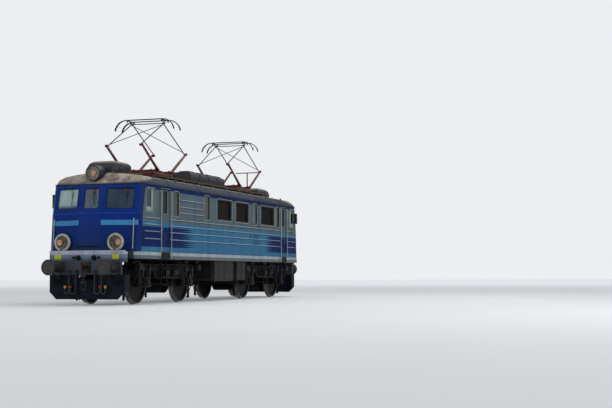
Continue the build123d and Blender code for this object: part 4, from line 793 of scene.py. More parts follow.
for end, endName in ends:
    b = bogie
    centre = end * plan["pivot"]
    body = "bogie_" + endName
    heads = []
    fittings, dampers, pipes = Bench(), Bench(), Bench()
    for side in (1, -1):
        for bench in (fittings, dampers, pipes):
            bench.at(centre, 1, side)
        # flange strips along the top and the lower edge of the side frame
        fittings.block(*b["topFlange"])
        fittings.block(*b["bellyFlange"])
        # axlebox covers, caps and bolts, and a strap above and below
        for axle in axles:
            fittings.lathe((axle, b["coverFace"], plan["wheelZ"]), acrossAxis, b["cover"])
            heads += around(fittings.spot((axle, b["coverFace"] + 0.004, plan["wheelZ"])), acrossAxis,
                            b["boltCircle"], b["boltCount"], 0.2)
            for turn in (1, -1):
                heads += [fittings.spot((axle + turn * 0.138, b["boxFace"] + 0.004, level))
                          for level in near(plan["wheelZ"], 0.115)]
                # damper from the axlebox to the frame
                x = axle + turn * 0.215
                dampers.block(near(x, 0.03), (1.094, 1.150), (1.085, 1.125), 0.004)
                dampers.lathe((x, 1.128, 1.085), (0, 0, -1), b["damper"], 16)
                dampers.block(near(x, 0.024), (1.104, 1.152), (0.802, 0.818), 0.002)
            for low in (0.770, 0.510):
                fittings.block(near(axle, 0.155), (1.158, 1.168), (low, low + 0.026), 0.003)
        # rod between the inner hangers of the brake
        pipes.tube(((-0.862, 0.768, 0.60), (0.862, 0.768, 0.60)), 0.017)
        for turn in (1, -1):
            fittings.at(centre, turn, side)
            pipes.at(centre, turn, side)
            fittings.block(*b["endFlange"])
            fittings.prism(b["slope"], (0, b["lip"], 0))
            for place, low in b["ribs"]:
                fittings.block(near(place, 0.008), (b["face"], b["face"] + 0.020), (low, 1.164))
            # lifting eye at the end of the frame, and guard irons in front of the outer wheels
            fittings.lathe((2.02, b["face"] - 0.002, 1.100), acrossAxis, b["eye"], 20)
            fittings.block(*b["guardIron"])
            fittings.block(*b["guardBracket"])
            # brake cylinders on the side frame with their push rods and levers
            fittings.lathe((0.18, 1.178, 0.955), alongAxis, b["cylinder"])
            for x in (0.23, 0.36):
                fittings.block((x, x + 0.04), (b["face"], 1.14), (0.90, 1.01), 0.003)
            pipes.tube(b["rod"], 0.014)
            pipes.tube(b["lever"], 0.018)
            # air pipe along the frame with its drop to the cylinder, and its clips
            pipes.tube(b["airPipe"], 0.009)
            for place in (0.5, 0.95, 1.42, 1.80):
                fittings.block(near(place, 0.012), (b["face"], 1.152), (1.124, 1.147), 0.002)
            # sand box lid, strap and bolts
            fittings.lathe((b["sandX"], 1.168, 1.189), upAxis, b["sandLid"], 20)
            fittings.block(near(b["sandX"], 0.11), (1.241, 1.247), (1.075, 1.100), 0.002)
            heads += [fittings.spot((x, 1.243, 1.150)) for x in near(b["sandX"], 0.09)]
    # a cross pipe on the end beams, with its clamps
    for turn in (1, -1):
        fittings.at(centre, turn)
        pipes.at(centre, turn).tube(((2.10, -0.90, 1.145), (2.10, 0.90, 1.145)), 0.012)
        for ys in ((-0.30, -0.22), (0.22, 0.30)):
            fittings.block((2.06, 2.14), ys, (1.128, 1.160), 0.003)
    fittings.make("bogieFittings_" + endName, "iron", "bogie_iron", body)
    dampers.make("bogieDampers_" + endName, "spring", "bogie_iron", body)
    pipes.make("bogiePipes_" + endName, "black", "bogie_paint", body)
    bolts(heads, "y", 0.012, 0.014, "bogieBolts_" + endName, "iron", "bogie_iron", body)
print("stage: bogies fitted")

# windows: pale frames outside, dark seals inside, and sliding sashes in the cab side windows
# panes and intakes are reaches along and up with a corner radius
window = {
    "frame": 0.011, "sealFace": 1.446, "seal": 0.010, "intakeFrame": 0.010, "sashFace": 1.452,
    "sashPost": ((5.992, 6.14), (1.4465, 1.4545), (2.712, 3.368), 0.004),
    "sashRail": ((6.14, 6.488), (1.4465, 1.4545), (2.712, 2.84), 0.004),
    "sashPane": ((6.15, 6.482), (2.85, 3.362), 0.04),
    "windowStrip": ((5.94, 6.46), (1.4695, 1.484), (3.405, 3.417), 0.003),
    "doorStrip": ((4.93, 5.55), (1.4695, 1.486), (3.425, 3.438), 0.003),
}
sidePanes = (((5.98, 6.50), (2.70, 3.38), 0.06), ((-6.50, -5.98), (2.70, 3.38), 0.06),
             ((4.26, 4.68), (2.64, 3.40), 0.08), ((1.87, 2.30), (2.64, 3.42), 0.08),
             ((-2.44, -2.06), (2.64, 3.40), 0.08), ((-4.78, -4.40), (2.64, 3.40), 0.08))
intakes = {
    "xs": ((-0.03, 1.24), (-1.62, -0.40), (-4.23, -2.85)), "zs": (2.68, 3.37), "corner": 0.02, "rim": 0.015,
}
filterMat = {"near": 1.335, "far": 1.355, "thick": 0.004, "folds": 34, "margin": 0.012}


def roundedOutline(xs, zs, radius, grow=0.0, steps=5):
    x0, x1, z0, z1 = xs[0] - grow, xs[1] + grow, zs[0] - grow, zs[1] + grow
    spots = ((x1 - radius, z1 - radius, 0), (x0 + radius, z1 - radius, 90),
             (x0 + radius, z0 + radius, 180), (x1 - radius, z0 + radius, 270))
    points = []
    for cx, cz, start in spots:
        for k in range(steps + 1):
            angle = math.radians(start + 90 * k / steps)
            points.append((cx + radius * math.cos(angle), cz + radius * math.sin(angle)))
    return points


frames, seals, sashes, mats = Bench(), Bench(), Bench(), Bench()
for turn in (1, -1):
    for bench in (frames, seals, mats):
        bench.at(0, turn, turn)
    for xs, zs, radius in sidePanes:
        frames.ring(plan["wallFace"], roundedOutline(xs, zs, radius + 0.010, 0.010), window["frame"])
        seals.ring(window["sealFace"], roundedOutline(xs, zs, radius, -0.008), window["seal"])
    for xs in intakes["xs"]:
        outline = roundedOutline(xs, intakes["zs"], intakes["corner"] + intakes["rim"], intakes["rim"])
        frames.ring(plan["wallFace"], outline, window["intakeFrame"])
        # pleated filter mat behind the slats
        f = filterMat
        width = xs[1] - xs[0] - 2 * f["margin"]
        fold = [(xs[0] + f["margin"] + width * k / f["folds"], f["far"] if k % 2 else f["near"])
                for k in range(f["folds"] + 1)]
        low, high = intakes["zs"]
        outline = [(x, y, low) for x, y in fold] + [(x, y - f["thick"], low) for x, y in reversed(fold)]
        mats.prism(outline, (0, 0, high - low))
for end, side in corners:
    # pale sash behind and below the dark pane of the cab side window, and rain strips over window and door
    sashes.at(0, end, side)
    for key in ("sashPost", "sashRail", "windowStrip", "doorStrip"):
        sashes.block(*window[key])
    sashes.ring(window["sashFace"], roundedOutline(*window["sashPane"]), 0.009)
frames.make("windowFrames", "pale", "rail_paint")
mats.make("filterMats", "grilles", "grille_paint", smooth=False)
seals.make("windowSeals", "rubber", "hood_paint")
sashes.make("cabSashes", "pale", "rail_paint")

# door furniture rides with each door: a frame round the pane, the handle and the lock under it
doorTrim = {
    "half": 0.145, "zs": (2.69, 3.37), "face": 1.465, "handleX": 5.44,
    "handle": ((0, 0.030), (0.004, 0.030), (0.008, 0.012), (0.010, 0.001)),
    "lock": ((0, 0.020), (0.004, 0.020), (0.006, 0.006), (0.007, 0.001)),
}
for end, endName in ends:
    for side, sideName in ((1, "left"), (-1, "right")):
        d = doorTrim
        door = endName + "_" + sideName
        trim = Bench().at(0, end, side)
        outline = roundedOutline(near(plan["doorX"], d["half"]), d["zs"], 0.02, 0.008, 3)
        trim.ring(d["face"] - 0.002, outline, 0.008)
        trim.lathe((d["handleX"], d["face"] - 0.001, 2.20), acrossAxis, d["handle"], 16)
        trim.lathe((d["handleX"], d["face"] - 0.001, 2.08), acrossAxis, d["lock"], 12)
        trim.make("doorTrim_" + door, "pale", "rail_paint", "door_" + door)
# open toe boxes on the sill under the doors: a back, three shelves and two cheeks
stepBox = {
    "half": 0.27, "low": 1.345, "high": 1.530, "face": 1.4815, "out": 0.030, "plate": 0.010, "bevel": 0.002,
}
boxes = Bench()
for end, side in corners:
    s = stepBox
    boxes.at(0, end, side)
    wide = near(plan["doorX"], s["half"])
    deep = (s["face"], s["face"] + s["out"])
    boxes.block(wide, (s["face"], s["face"] + 0.006), (s["low"], s["high"]), s["bevel"])
    for level in (s["low"], s["low"] + 0.085, s["high"] - s["plate"]):
        boxes.block(wide, deep, (level, level + s["plate"]), s["bevel"])
    for edge in (wide[0], wide[1] - s["plate"]):
        boxes.block((edge, edge + s["plate"]), deep, (s["low"], s["high"]), s["bevel"])
boxes.make("toeBoxes", "stepBox", "bogie_paint")
print("stage: sides trimmed")

# front windows stand on the leaning facets
facet = {
    "angle": math.atan2(0.30, 1.04), "middle": 0.85, "lean": 0.170 / 0.858, "top": 7.15,
    "slope": 0.30 / 1.04, "flat": 0.33, "centre": 0.48, "outer": 0.80, "low": 2.776, "high": 3.363,
    "crease": 2.64, "corner": 0.045, "foot": 7.23, "footZ": 1.535, "footLean": 0.08 / 1.105,
    "mouldings": ((2.640, 0.011), (3.440, 0.009)), "bends": (-1.366, -0.85, -0.33, 0.33, 0.85, 1.366),
}


def skin(y, z):
    # how far forward the nose reaches at this height and distance from the middle
    if z < facet["crease"]:
        base = facet["foot"] - (z - facet["footZ"]) * facet["footLean"]
    else:
        base = facet["top"] - (z - facet["crease"]) * facet["lean"]
    return base - max(0.0, abs(y) - facet["flat"]) * facet["slope"]


def frontPoint(side, along, z, proud=0.0):
    # a point on the plane of one front window, measured from the window's middle
    angle = facet["angle"] * side
    y = facet["middle"] * side + along * math.cos(angle)
    return Vector((skin(y, z) + proud * math.cos(angle), y + proud * math.sin(angle), z))


seals, wipers, mouldings = Bench(), Bench(), Bench()
for end in (1, -1):
    low, high = facet["low"], facet["high"]
    for bench in (seals, wipers, mouldings):
        bench.at(0, end, end)
    for side, width in ((0, facet["centre"]), (1, facet["outer"]), (-1, facet["outer"])):
        outline = roundedOutline(near(0, width / 2), (low, high), facet["corner"], -0.001)
        seals.tube([frontPoint(side, a, z, -0.003) for a, z in outline], 0.009, 6, True)
        # each wiper hangs from a pivot over its window: a spindle, an arm, a blade and the joint between them
        lean = 0.16 if side else 0.05
        top = high + 0.035
        pivot = frontPoint(side, lean, top, 0.035)
        wrist = frontPoint(side, lean + 0.03, low + 0.30, 0.03)
        wipers.tube([frontPoint(side, lean, top, -0.005), pivot], 0.016, 10)
        wipers.tube([pivot, wrist], 0.007, 6)
        wipers.tube([frontPoint(side, lean + 0.02, low + 0.09, 0.012),
                     frontPoint(side, lean + 0.04, low + 0.50, 0.012)], 0.008, 6)
        wipers.tube([wrist, frontPoint(side, lean + 0.03, low + 0.30, 0.012)], 0.005, 6)
        wipers.block(*zip(frontPoint(side, lean - 0.04, top - 0.03),
                          frontPoint(side, lean + 0.04, top + 0.03, 0.02)), 0.003)
    # waist moulding along the crease, and a drip strip over the windows
    for level, radius in facet["mouldings"]:
        mouldings.tube([(skin(y, level), y, level) for y in facet["bends"]], radius)
seals.make("windscreenSeals", "seal", "hood_paint")
wipers.make("wipers", "rubber", "hood_paint")
# the mouldings take a paler blue, a painted highlight along them
mouldings.make("noseMouldings", "blueTrim", "front_paint")

# headlamps: reflector cups, rims and clips; rims as place, radius, thickness and sides
lamp = {
    "bowlX": 7.2078, "roofX": 7.009, "roofRing": 0.221,
    "rims": ((7.229, 0.221, 0.018, 8), (7.217, 0.246, 0.012, 6)), "steps": 40,
    "bowl": ((0, 0.079), (0.012, 0.081), (0.014, 0.074), (0.006, 0.050), (0.0025, 0.020), (0.012, 0.014),
        (0.0125, 0.001)),
    "topClip": ((7.209, 7.241), near(0.853, 0.03), (2.042, 2.068), 0.004),
    "lowClip": ((7.209, 7.239), near(0.853, 0.018), (1.544, 1.570), 0.004),
    "roofClip": ((6.909, 6.989), near(0.19, 0.02), (3.918, 3.958), 0.004),
}
bowls = {"warmLamp": Bench(), "darkLamp": Bench()}
rims, clips = Bench(), Bench()
for end, side in corners:
    for inner, kind in ((1, "warmLamp"), (-1, "darkLamp")):
        middle = (lamp["bowlX"], plan["lampY"] + inner * plan["bulbGap"], plan["lampZ"])
        bowls[kind].at(0, end, side).lathe(middle, alongAxis, lamp["bowl"])
    for place, radius, wire, sides in lamp["rims"]:
        ring = around((end * place, side * plan["lampY"], plan["lampZ"]), alongAxis, radius, lamp["steps"])
        rims.tube(ring, wire, sides, True)
    clips.at(0, end, side)
    for key in ("topClip", "lowClip", "roofClip"):
        clips.block(*lamp[key])
for end in (1, -1):
    ring = around((end * lamp["roofX"], 0, plan["roofLampZ"]), alongAxis, lamp["roofRing"], lamp["steps"])
    rims.tube(ring, 0.013, 8, True)
for kind, bench in bowls.items():
    bench.make("lampBowls_" + kind, kind, "lamp_paint")
rims.make("lampRims", "lamp", "lamp_paint")
clips.make("lampClips", "rail", "lamp_paint")
print("stage: nose and lamps fitted")

# the beam below the cab: plates left bare, small red lamps, sockets, cocks and bolts
front = {
    "plate": ((7.3375, 7.3445), near(0.92, 0.105), (1.315, 1.455), 0.002), "redSpot": (7.27, 0.853, 1.60),
    "redLamp": ((0, 0.03), (0.035, 0.03), (0.045, 0.02), (0.048, 0.001)),
    "socketSpot": (7.3355, 0.25, 1.36),
    "socket": ((0, 0.075), (0.010, 0.075), (0.014, 0.058), (0.075, 0.055), (0.080, 0.050), (0.081, 0.001)),
    "flap": ((7.4115, 7.4255), near(0.25, 0.05), (1.31, 1.415), 0.005),
    "smallSocket": ((7.3375, 7.3875), near(0.40, 0.035), (1.33, 1.40), 0.008), "cockX": 7.3995,
    "cock": ((0, 0.020), (0.014, 0.020), (0.018, 0.010), (0.019, 0.001)), "grab": (1.16, 0.98, 1.60),
    "barZ": 1.69, "barEnds": (-0.42, 0.36), "barStays": (-0.38, -0.03, 0.32),
}
plates, reds, sockets, cocks, barWork = Bench(), Bench(), Bench(), Bench(), Bench()
heads = []
for end, side in corners:
    for bench in (plates, reds, sockets, cocks, barWork):
        bench.at(0, end, side)
    plates.block(*front["plate"])
    reds.lathe(front["redSpot"], alongAxis, front["redLamp"], 16)
    # jumper socket with its flap, and a smaller one beside it
    sockets.lathe(front["socketSpot"], alongAxis, front["socket"], 20)
    sockets.block(*front["flap"])
    sockets.block(*front["smallSocket"])
    # isolating cocks over the hoses, whose handles all point the same way
    x = front["cockX"]
    for y in (0.30, 0.52):
        cocks.tube(((x, y, 1.012), (x, y + side * 0.075, 1.045)), 0.008, 6)
        cocks.lathe((x, y, 1.008), upAxis, front["cock"], 12)
    # fixing bolts of the buffers
    heads += [plates.spot((plan["beamFace"] + 0.030, y, z)) for y in near(plan["bufferY"], 0.145)
              for z in near(plan["bufferZ"], 0.125)]
    # grab iron over the buffer
    outer, inner, z = front["grab"]
    x = skin(outer, 1.62)
    barWork.tube(((x, outer, z), (x + 0.07, outer, z), (x + 0.07, inner, z)), 0.010)
for end in (1, -1):
    heads += [(end * (plan["beamFace"] + 0.025), y, z) for y in (-0.12, 0.12) for z in (0.97, 1.205)]
    # step bar between the lamps
    barWork.at(0, end)
    z = front["barZ"]
    x = skin(0.2, z) + 0.045
    barWork.tube([(x, y, z) for y in front["barEnds"]], 0.012)
    for y in front["barStays"]:
        barWork.tube(((skin(y, z) - 0.01, y, z), (x, y, z)), 0.009, 6)
plates.make("blankPlates", "plate", "sill_paint")
reds.make("smallRedLamps", "redGlass", "window_pane")
sockets.make("jumperSockets", "black", "buffer_paint")
cocks.make("airCocks", "red", "pantograph_red")
barWork.make("noseBars", "black", "buffer_paint")
bolts(heads, "x", 0.018, 0.020, "bufferBolts", "black", "buffer_paint")

# rows of rivets on the sill, the beam and the shoulders of the roof
sillRow = spaced((-6.4, 1.482, 1.40), (6.4, 1.482, 1.40), 96)
rows = turned(sillRow, 1, 1) + turned(sillRow, -1, -1)
rivets(rows, 0.008, "sillRivets", "sill", "sill_paint")
rows = []
for end in (1, -1):
    x = end * plan["beamFace"]
    for level in (1.27, 1.50):
        rows += spaced((x, -1.15, level), (x, 1.15, level), 24)
    for y in (-1.08, -0.64, 0.64, 1.08):
        rows += spaced((x, y, 0.93), (x, y, 1.22), 4)
rivets(rows, 0.012, "beamRivets", "sill", "sill_paint")
shoulder = ((1.475, 3.53), (1.448, 3.58), (1.39, 3.644), (1.30, 3.706), (1.20, 3.755))
rows = [(place + dx, turn * y, z) for turn in (1, -1) for place in (-4.9, -2.6, 0.0, 2.6, 4.9)
        for dx in (-0.016, 0.016) for y, z in shoulder]
rivets(rows, 0.007, "roofRivets", "roof", "roof_paint")
print("stage: beam fitted")

# pipes, cable boxes and hangers below the floor; equipment boxes as start, stop and lower edge
under = {
    "runs": ((-6.9, -1.40), (1.50, 6.9)), "clips": 7, "hangers": (-1.56, -0.38, 1.58),
    "ducts": ((2.55, 2.80), (3.40, 3.62), (-2.35, -2.05), (-3.60, -3.25)),
    "hanger": (((0.80, 0.86), (0.78, 1.334)), ((1.34, 1.40), (0.78, 1.334)), ((0.80, 1.40), (0.76, 0.80))),
    "boxes": ((-0.22, 1.44, 0.655), (-1.35, -0.54, 0.68)), "boxTop": 1.332, "doorFace": 1.453,
}
pipes, boxes, latches = Bench(), Bench(), Bench()
heads = []
for turn in (1, -1):
    for bench in (pipes, boxes, latches):
        bench.at(0, turn, turn)
    for start, stop in under["runs"]:
        for y, z, radius in ((1.285, 1.312, 0.014), (1.235, 1.316, 0.010)):
            pipes.tube(((start, y, z), (stop, y, z)), radius)
        for k in range(under["clips"]):
            x = start + (stop - start) * (k + 0.5) / under["clips"]
            boxes.block(near(x, 0.014), (1.215, 1.307), (1.292, plan["floorZ"]), 0.002)
    for xs in under["ducts"]:
        boxes.block(xs, (1.315, 1.385), (1.235, plan["floorZ"]), 0.008)
    # frames of hangers between the boxes and tanks
    for x in under["hangers"]:
        for ys, zs in under["hanger"]:
            boxes.block((x, x + 0.05), ys, zs, 0.003)
    # two doors on each box, each with two ledges, handles and their bolts
    for start, stop, low in under["boxes"]:
        out = under["doorFace"]
        half = (stop - start) / 4 - 0.03
        for part in (0.25, 0.75):
            x = start + (stop - start) * part
            for level in near((low + under["boxTop"]) / 2, 0.15):
                latches.block(near(x, 0.05), (1.4515, 1.458), (level - 0.13, level - 0.115), 0.002)
                handle = ((-0.03, 0.0), (-0.03, 0.009), (0.03, 0.009), (0.03, 0.0))
                latches.tube([(x + dx, out + dy, level + 0.02) for dx, dy in handle], 0.005, 6)
                heads += [latches.spot((boltX, out, boltZ)) for boltX in near(x, half - 0.02)
                          for boltZ in near(level, 0.11)]
pipes.make("sillPipes", "black", "bogie_paint")
boxes.make("underBoxes", "black", "bogie_paint")
latches.make("boxLatches", "iron", "bogie_iron")
bolts(heads, "y", 0.009, 0.008, "boxBolts", "boxes", "box_paint")
print("stage: underside fitted")

# roof fittings: conduits, louvres on the resistor covers, vents, lifting eyes and cable runs
roofWork = {
    "slatPitch": 0.060, "slatZ": 4.317, "sideSlatZ": 3.87, "sideSlatPitch": 0.034,
    "slatMiddles": (-1.1175, -0.3725, 0.3725, 1.1175), "cableReach": 4.6,
    "cables": ((0.715, 0.018), (0.765, 0.013)), "clips": [-4.55 + k * 0.65 for k in range(15)],
    "eyes": (-5.6, -4.0, -2.0, 0.0, 2.0, 4.0, 5.6), "vents": (2.9, -2.9, 4.95, -4.95),
    "vent": ((0, 0.07), (0.06, 0.07), (0.065, 0.115), (0.09, 0.115), (0.115, 0.07), (0.12, 0.001)),
    "lamp": ((6.56, 0.26, 3.96), (6.50, 0.38, 3.95), (6.36, 0.412, 3.93), (6.20, 0.414, 3.89),
        (5.52, 0.414, 3.86), (5.38, 0.42, 3.84)),
    "lead": ((5.40, 0.42, 3.84), (5.05, 0.55, 3.86), (4.75, 0.70, 3.872)),
    # caps above and below each insulator: height and outline
    "pantographCaps": ((3.975, ((0, 0.03), (0.010, 0.048), (0.044, 0.048), (0.045, 0.001))),
        (3.800, ((0, 0.070), (0.030, 0.066), (0.046, 0.044), (0.047, 0.001)))),
    "busbarCaps": ((3.995, ((0, 0.028), (0.01, 0.040), (0.050, 0.040), (0.052, 0.001))),
        (3.820, ((0, 0.062), (0.034, 0.058), (0.046, 0.036), (0.047, 0.001)))),
}
conduits, brackets, caps = Bench(), Bench(), Bench()
for turn in (1, -1):
    r = roofWork
    conduits.at(0, 1, turn)
    brackets.at(0, 1, turn)
    for y, radius in r["cables"]:
        conduits.tube([(x, y, 3.872) for x in near(0, r["cableReach"])], radius)
    for x in r["clips"]:
        brackets.block(near(x, 0.02), (0.69, 0.79), (3.80, 3.894), 0.003)
    # edge rails of the walkways, and lifting eyes on the shoulder of the roof
    conduits.tube([(x, 1.072, 3.898) for x in near(0, 4.78)], 0.009, 6)
    for x in r["eyes"]:
        brackets.block(near(x, 0.05), (1.215, 1.245), (3.735, 3.800), 0.006)
    # vents between the walkways
    for x in r["vents"]:
        brackets.lathe((x, 0.45, 3.83), upAxis, r["vent"], 20)
for end, side in corners:
    # oval coil of cable on the flank of the hood, and leads to the roof lamp
    conduits.at(0, end, side)
    for inset in (0.0, 0.035, 0.070):
        wide, tall = 0.34 - inset, 0.095 - inset
        conduits.tube([(5.78 + wide * math.cos(a), 0.408 + inset * 0.2, 3.975 + tall * math.sin(a))
                       for a in [2 * math.pi * k / 32 for k in range(32)]], 0.016, 6, True)
    conduits.tube(roofWork["lamp"], 0.018)
    conduits.tube(roofWork["lead"], 0.016)
conduits.make("roofConduits", "dark", "pantograph_dark")
brackets.make("roofBrackets", "cover", "hood_paint")
slatGraph = Graph("coverSlats", {"Size": (0.05, 0.9, 0.006), "Turn": (0.0, 0.4, 0.0)})
slatGraph.scatter(slatGraph.node("GeometryNodeMeshCube", {"Size": slatGraph.given("Size")}))
places = [(middle + k * roofWork["slatPitch"], side * 0.32, roofWork["slatZ"])
          for middle in roofWork["slatMiddles"] for k in range(-4, 5) for side in (1, -1)]
slatGraph.grow(places, {"Size": (0.040, 0.30, 0.005), "Turn": (0.0, 0.5, 0.0)},
               "coverTopSlats", "cover", "hood_paint", smooth=False)
places = [(middle, side * 0.6225, roofWork["sideSlatZ"] + k * roofWork["sideSlatPitch"])
          for middle in roofWork["slatMiddles"] for k in range(8) for side in (1, -1)]
slatGraph.grow(places, {"Size": (0.58, 0.016, 0.010), "Turn": turns["z"]},
               "coverSideSlats", "iron", "hood_paint", smooth=False)
legs = [(centre + x, y) for centre in near(0, plan["pantographX"])
        for x in near(0, 0.6) for y in near(0, 0.52)]
for key, feet in (("pantographCaps", legs), ("busbarCaps", [(x, 0) for x in (-2.25, -1.7, 1.7, 2.25)])):
    for x, y in feet:
        for z, outline in roofWork[key]:
            caps.lathe((x, y, z), upAxis, outline, 16)
caps.make("insulatorCaps", "iron", "bogie_iron")
print("stage: roof fitted")

# pantographs: raising springs, drive, caps on knees and shafts, ties, contact strips and the skates' bars
panto = {
    "shaft": 4.128, "shaftOffset": 0.49, "knee": 1.62, "kneeZ": 4.818, "kneeHalf": 0.605, "skateZ": 5.773,
    "spread": 0.24, "flat": 0.64, "horn": 0.385, "drop": 0.33, "bars": (-0.042, 0.042), "hornSteps": 8,
    "springY": 0.30, "springReach": 0.36,
    "drive": ((0, 0.05), (0.02, 0.062), (0.30, 0.062), (0.32, 0.05), (0.321, 0.001)),
    "kneeCap": ((0, 0.030), (0.006, 0.030), (0.010, 0.016), (0.011, 0.001)),
    "shaftCap": ((0, 0.034), (0.006, 0.034), (0.010, 0.018), (0.011, 0.001)),
    "post": ((0, 0.016), (0.012, 0.022), (0.060, 0.022), (0.066, 0.014), (0.068, 0.001)),
}
hornAngle = 2 * math.atan(panto["drop"] / panto["horn"])
hornRadius = panto["horn"] / math.sin(hornAngle)
for end, endName in ends:
    p = panto
    centre = end * plan["pantographX"]
    # raising springs lie along the base between the shafts
    seats = [(centre - p["springReach"], y, p["shaft"] + 0.012) for y in near(0, p["springY"])]
    coilGraph.grow(seats, {"Radius": 0.038, "Wire": 0.009, "Height": 2 * p["springReach"], "Turns": 26.0,
                           "Turn": turns["x"]}, "raisingSprings_" + endName, "dark", "pantograph_red")
    base = Bench().at(centre)
    for y in near(0, p["springY"]):
        for xs in ((-0.40, -0.355), (0.355, 0.40)):
            base.block(xs, near(y, 0.03), (4.075, 4.19), 0.004)
        base.block(near(0, 0.62), near(y, 0.035), (4.022, 4.078), 0.004)
    for x in (-0.15, 0.15):
        base.block(near(x, 0.03), near(0, 0.53), (4.024, 4.074), 0.004)
    base.lathe((-0.16, 0.0, 4.10), alongAxis, p["drive"], 20)
    base.make("pantographDrive_" + endName, "red", "pantograph_red")
    for way, arm in ((1, "fore"), (-1, "aft")):
        lower = Bench()
        for side in (1, -1):
            lower.at(centre, way, side)
            lower.lathe((p["knee"], p["kneeHalf"] + 0.028, p["kneeZ"]), acrossAxis, p["kneeCap"], 16)
            lower.lathe((p["shaftOffset"], p["kneeHalf"] + 0.032, p["shaft"]), acrossAxis, p["shaftCap"], 16)
            # light tie beside the arm
            y = p["kneeHalf"] - 0.005
            foot = (p["shaftOffset"] + 0.02, y, p["shaft"] + 0.075)
            lower.tube((foot, (p["knee"] - 0.10, y, p["kneeZ"] + 0.010)), 0.008, 6)
        place = endName + "_" + arm
        lower.make("lowerTies_" + place, "red", "pantograph_red", "lower_arms_" + place)
    head, strips = Bench().at(centre), Bench().at(centre)
    # the bars of a skate fall along the same arc as the horns
    bend = []
    for k in range(1, p["hornSteps"] + 1):
        a = hornAngle * k / p["hornSteps"]
        bend.append((p["flat"] + hornRadius * math.sin(a), p["skateZ"] - hornRadius * (1 - math.cos(a))))
    line = [(y, p["skateZ"]) for y in (-p["flat"], -0.3, 0.0, 0.3, p["flat"])]
    line = [(-y, z) for y, z in reversed(bend)] + line + bend
    for place in near(0, p["spread"]):
        for offset in p["bars"]:
            head.tube([(place + offset, y, z) for y, z in line], 0.0085, 6)
        strips.block(near(place, 0.030), near(0, p["flat"] - 0.02), (5.776, 5.7885), 0.003)
        for y in (-0.60, 0.60):
            head.lathe((place, y, 5.70), upAxis, p["post"], 12)
        for y in (-0.62, -0.30, 0.0, 0.30, 0.62):
            head.block(near(place, 0.046), near(y, 0.008), (5.764, 5.776), 0.002)
    for y in (-0.6, 0.6):
        head.block(near(0, 0.225), near(y, 0.011), (5.742, 5.775), 0.003)
    head.make("skateBars_" + endName, "dark", "pantograph_dark", "pantograph_head_" + endName)
    strips.make("contactStrips_" + endName, "copper", "pantograph_dark", "pantograph_head_" + endName)
print("stage: pantographs fitted")

# cab mirrors, desks and what shows through the windows
cab = {
    "mirror": ((6.448, 6.454), near(1.5675, 0.029), (2.87, 3.23), 0.002),
    "desk": ((6.22, 6.50), near(0, 1.02), (2.47, 2.53), 0.01), "gaugeTilt": (-0.5, 0, 0.85),
    "wheelTilt": (-0.4, 0, 1),
    "gauge": ((0, 0.062), (0.05, 0.062), (0.055, 0.052), (0.048, 0.050), (0.048, 0.001)),
    "handWheel": ((0, 0.02), (0.09, 0.016), (0.095, 0.13), (0.11, 0.14), (0.12, 0.13), (0.122, 0.001)),
    "blind": (0.50, 1.18), "blindZ": 3.33,
    "railFeet": ((5.59, 1.476, 1.585), (5.59, 1.474, 3.36), (4.89, 1.484, 1.382), (4.89, 1.474, 3.36)),
    "stepLevels": (0.582, 0.822, 1.062), "treadPitch": 0.046,
}
mirrors, gauges, desk, treads = Bench(), Bench(), Bench(), Bench()
for end in (1, -1):
    mirrors.at(0, end, -end).block(*cab["mirror"])
    gauges.at(0, end, end)
    for k in range(5):
        gauges.lathe((6.36, -0.85 + k * 0.19, 2.545), cab["gaugeTilt"], cab["gauge"], 20)
    desk.at(0, end, end).block(*cab["desk"])
    desk.lathe((6.20, -0.72, 2.49), cab["wheelTilt"], cab["handWheel"])
for end, side in corners:
    # sun blinds rolled under the roof
    z = cab["blindZ"]
    desk.at(0, end, side).tube([(skin(y, z) - 0.10, y, z + 0.005) for y in cab["blind"]], 0.022)
    # bars across the treads of the door steps
    treads.at(0, end, side)
    for level in cab["stepLevels"]:
        for k in range(-3, 4):
            x = plan["doorX"] + k * cab["treadPitch"]
            treads.block(near(x, 0.004), (1.338, 1.462), (level, level + 0.005))
mirrors.make("mirrorGlasses", "mirrorGlass", "window_pane")
gauges.make("deskGauges", "rail", "rail_paint")
desk.make("deskTops", "machine", "machine_paint")
flanges = [p for end, side in corners for p in turned(cab["railFeet"], end, side)]
bolts(flanges, "y", 0.026, 0.008, "handrailFeet", "rail", "rail_paint")
treads.make("stepTreads", "iron", "bogie_iron", smooth=False)
print("stage: cabs fitted")

# camera at the photograph's place, found by fitting the body's known points
view = {
    "place": (37.2891, 16.6255, 0.8626), "yaw": 198.4997, "pitch": 3.4232, "roll": -0.1743,
    "lens": 1181.1589 * 36 / 612,
}
yaw, pitch, roll = (math.radians(view[k]) for k in ("yaw", "pitch", "roll"))
forward = Vector((math.cos(yaw) * math.cos(pitch), math.sin(yaw) * math.cos(pitch), math.sin(pitch)))
right = Vector((math.sin(yaw), -math.cos(yaw), 0))
up = right.cross(forward)
rightRolled = math.cos(roll) * right + math.sin(roll) * up
upRolled = -math.sin(roll) * right + math.cos(roll) * up
turnMatrix = Matrix((rightRolled, upRolled, -forward)).transposed()
cameraData = bpy.data.cameras.new("viewCamera")
cameraData.sensor_width = 36
cameraData.lens = view["lens"]
cameraData.clip_end = 500
camera = addObject("viewCamera", cameraData)
camera.matrix_world = Matrix.Translation(view["place"]) @ turnMatrix.to_4x4()
bpy.context.scene.camera = camera


def seenRays(tree):
    # 1 for what the camera sees, directly or in a reflection or through glass, and 0 for light on the object
    path = tree.nodes.new("ShaderNodeLightPath")
    total = path.outputs["Is Camera Ray"]
    for label in ("Is Glossy Ray", "Is Transmission Ray"):
        both = tree.nodes.new("ShaderNodeMath")
        both.operation = "MAXIMUM"
        tree.links.new(total, both.inputs[0])
        tree.links.new(path.outputs[label], both.inputs[1])
        total = both.outputs[0]
    return total


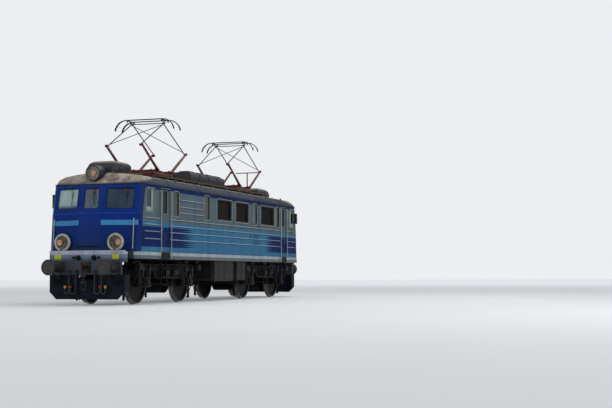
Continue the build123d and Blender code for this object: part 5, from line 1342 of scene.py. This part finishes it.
backdrop = {
    "near": [0.16, 0.165, 0.17, 1], "far": [0.46, 0.47, 0.48, 1], "edge": 39.0, "width": 50.0,
    "floor": [0.62, 0.62, 0.61, 1], "patch": [0.66, 0.66, 0.65, 1], "half": 150,
}
floorPaint = Paint("floorPaint", 0.1)
floorColour = floorPaint.patches(3.0, backdrop["floor"], backdrop["patch"], 0.8, 3.0)
away = floorPaint.reach(floorPaint.x, floorPaint.y).above(backdrop["edge"], backdrop["width"])
lift = floorPaint.mix(away, backdrop["near"], backdrop["far"])
lift = floorPaint.mix(Wire(floorPaint, seenRays(floorPaint.tree)), [0, 0, 0, 1], lift)
floorPaint.feed(floorPaint.shader.inputs["Emission Color"], lift)
floorPaint.shader.inputs["Emission Strength"].default_value = 1.0
floorMesh = bpy.data.meshes.new("floor")
floorMesh.from_pydata([(x * backdrop["half"], y * backdrop["half"], 0)
                       for x, y in ((-1, -1), (1, -1), (1, 1), (-1, 1))], [], [(0, 1, 2, 3)])
floorMesh.materials.append(floorPaint.finish(floorColour, 0.9))
floor = addObject("floor", floorMesh)

# lights as place, target, size and power
light = {
    "world": (0.40, 0.43, 0.47, 1), "seen": (0.84, 0.86, 0.88, 1),
    "keyLight": ((12, 24, 16), (0, 0, 2), 10, 2500), "fillLight": ((24, -10, 10), (3, 0, 2), 12, 900),
    "topLight": ((-6, 6, 20), (-2, 0, 2), 12, 1500),
}
world = bpy.data.worlds.new("studio")
world.use_nodes = True
bpy.context.scene.world = world
sky = world.node_tree
background = sky.nodes["Background"]
blend = sky.nodes.new("ShaderNodeMix")
blend.data_type = "RGBA"
blend.inputs[6].default_value = light["world"]
blend.inputs[7].default_value = light["seen"]
sky.links.new(seenRays(sky), blend.inputs[0])
sky.links.new(blend.outputs[2], background.inputs[0])
background.inputs[1].default_value = 1.0
for name in ("keyLight", "fillLight", "topLight"):
    place, target, size, power = light[name]
    source = bpy.data.lights.new(name, "AREA")
    source.size = size
    source.energy = power
    lightObject = addObject(name, source)
    lightObject.location = place
    lightObject.rotation_euler = (Vector(target) - Vector(place)).to_track_quat("-Z", "Y").to_euler()
bpy.context.scene.view_settings.view_transform = "Standard"
print("stage: view and light set")
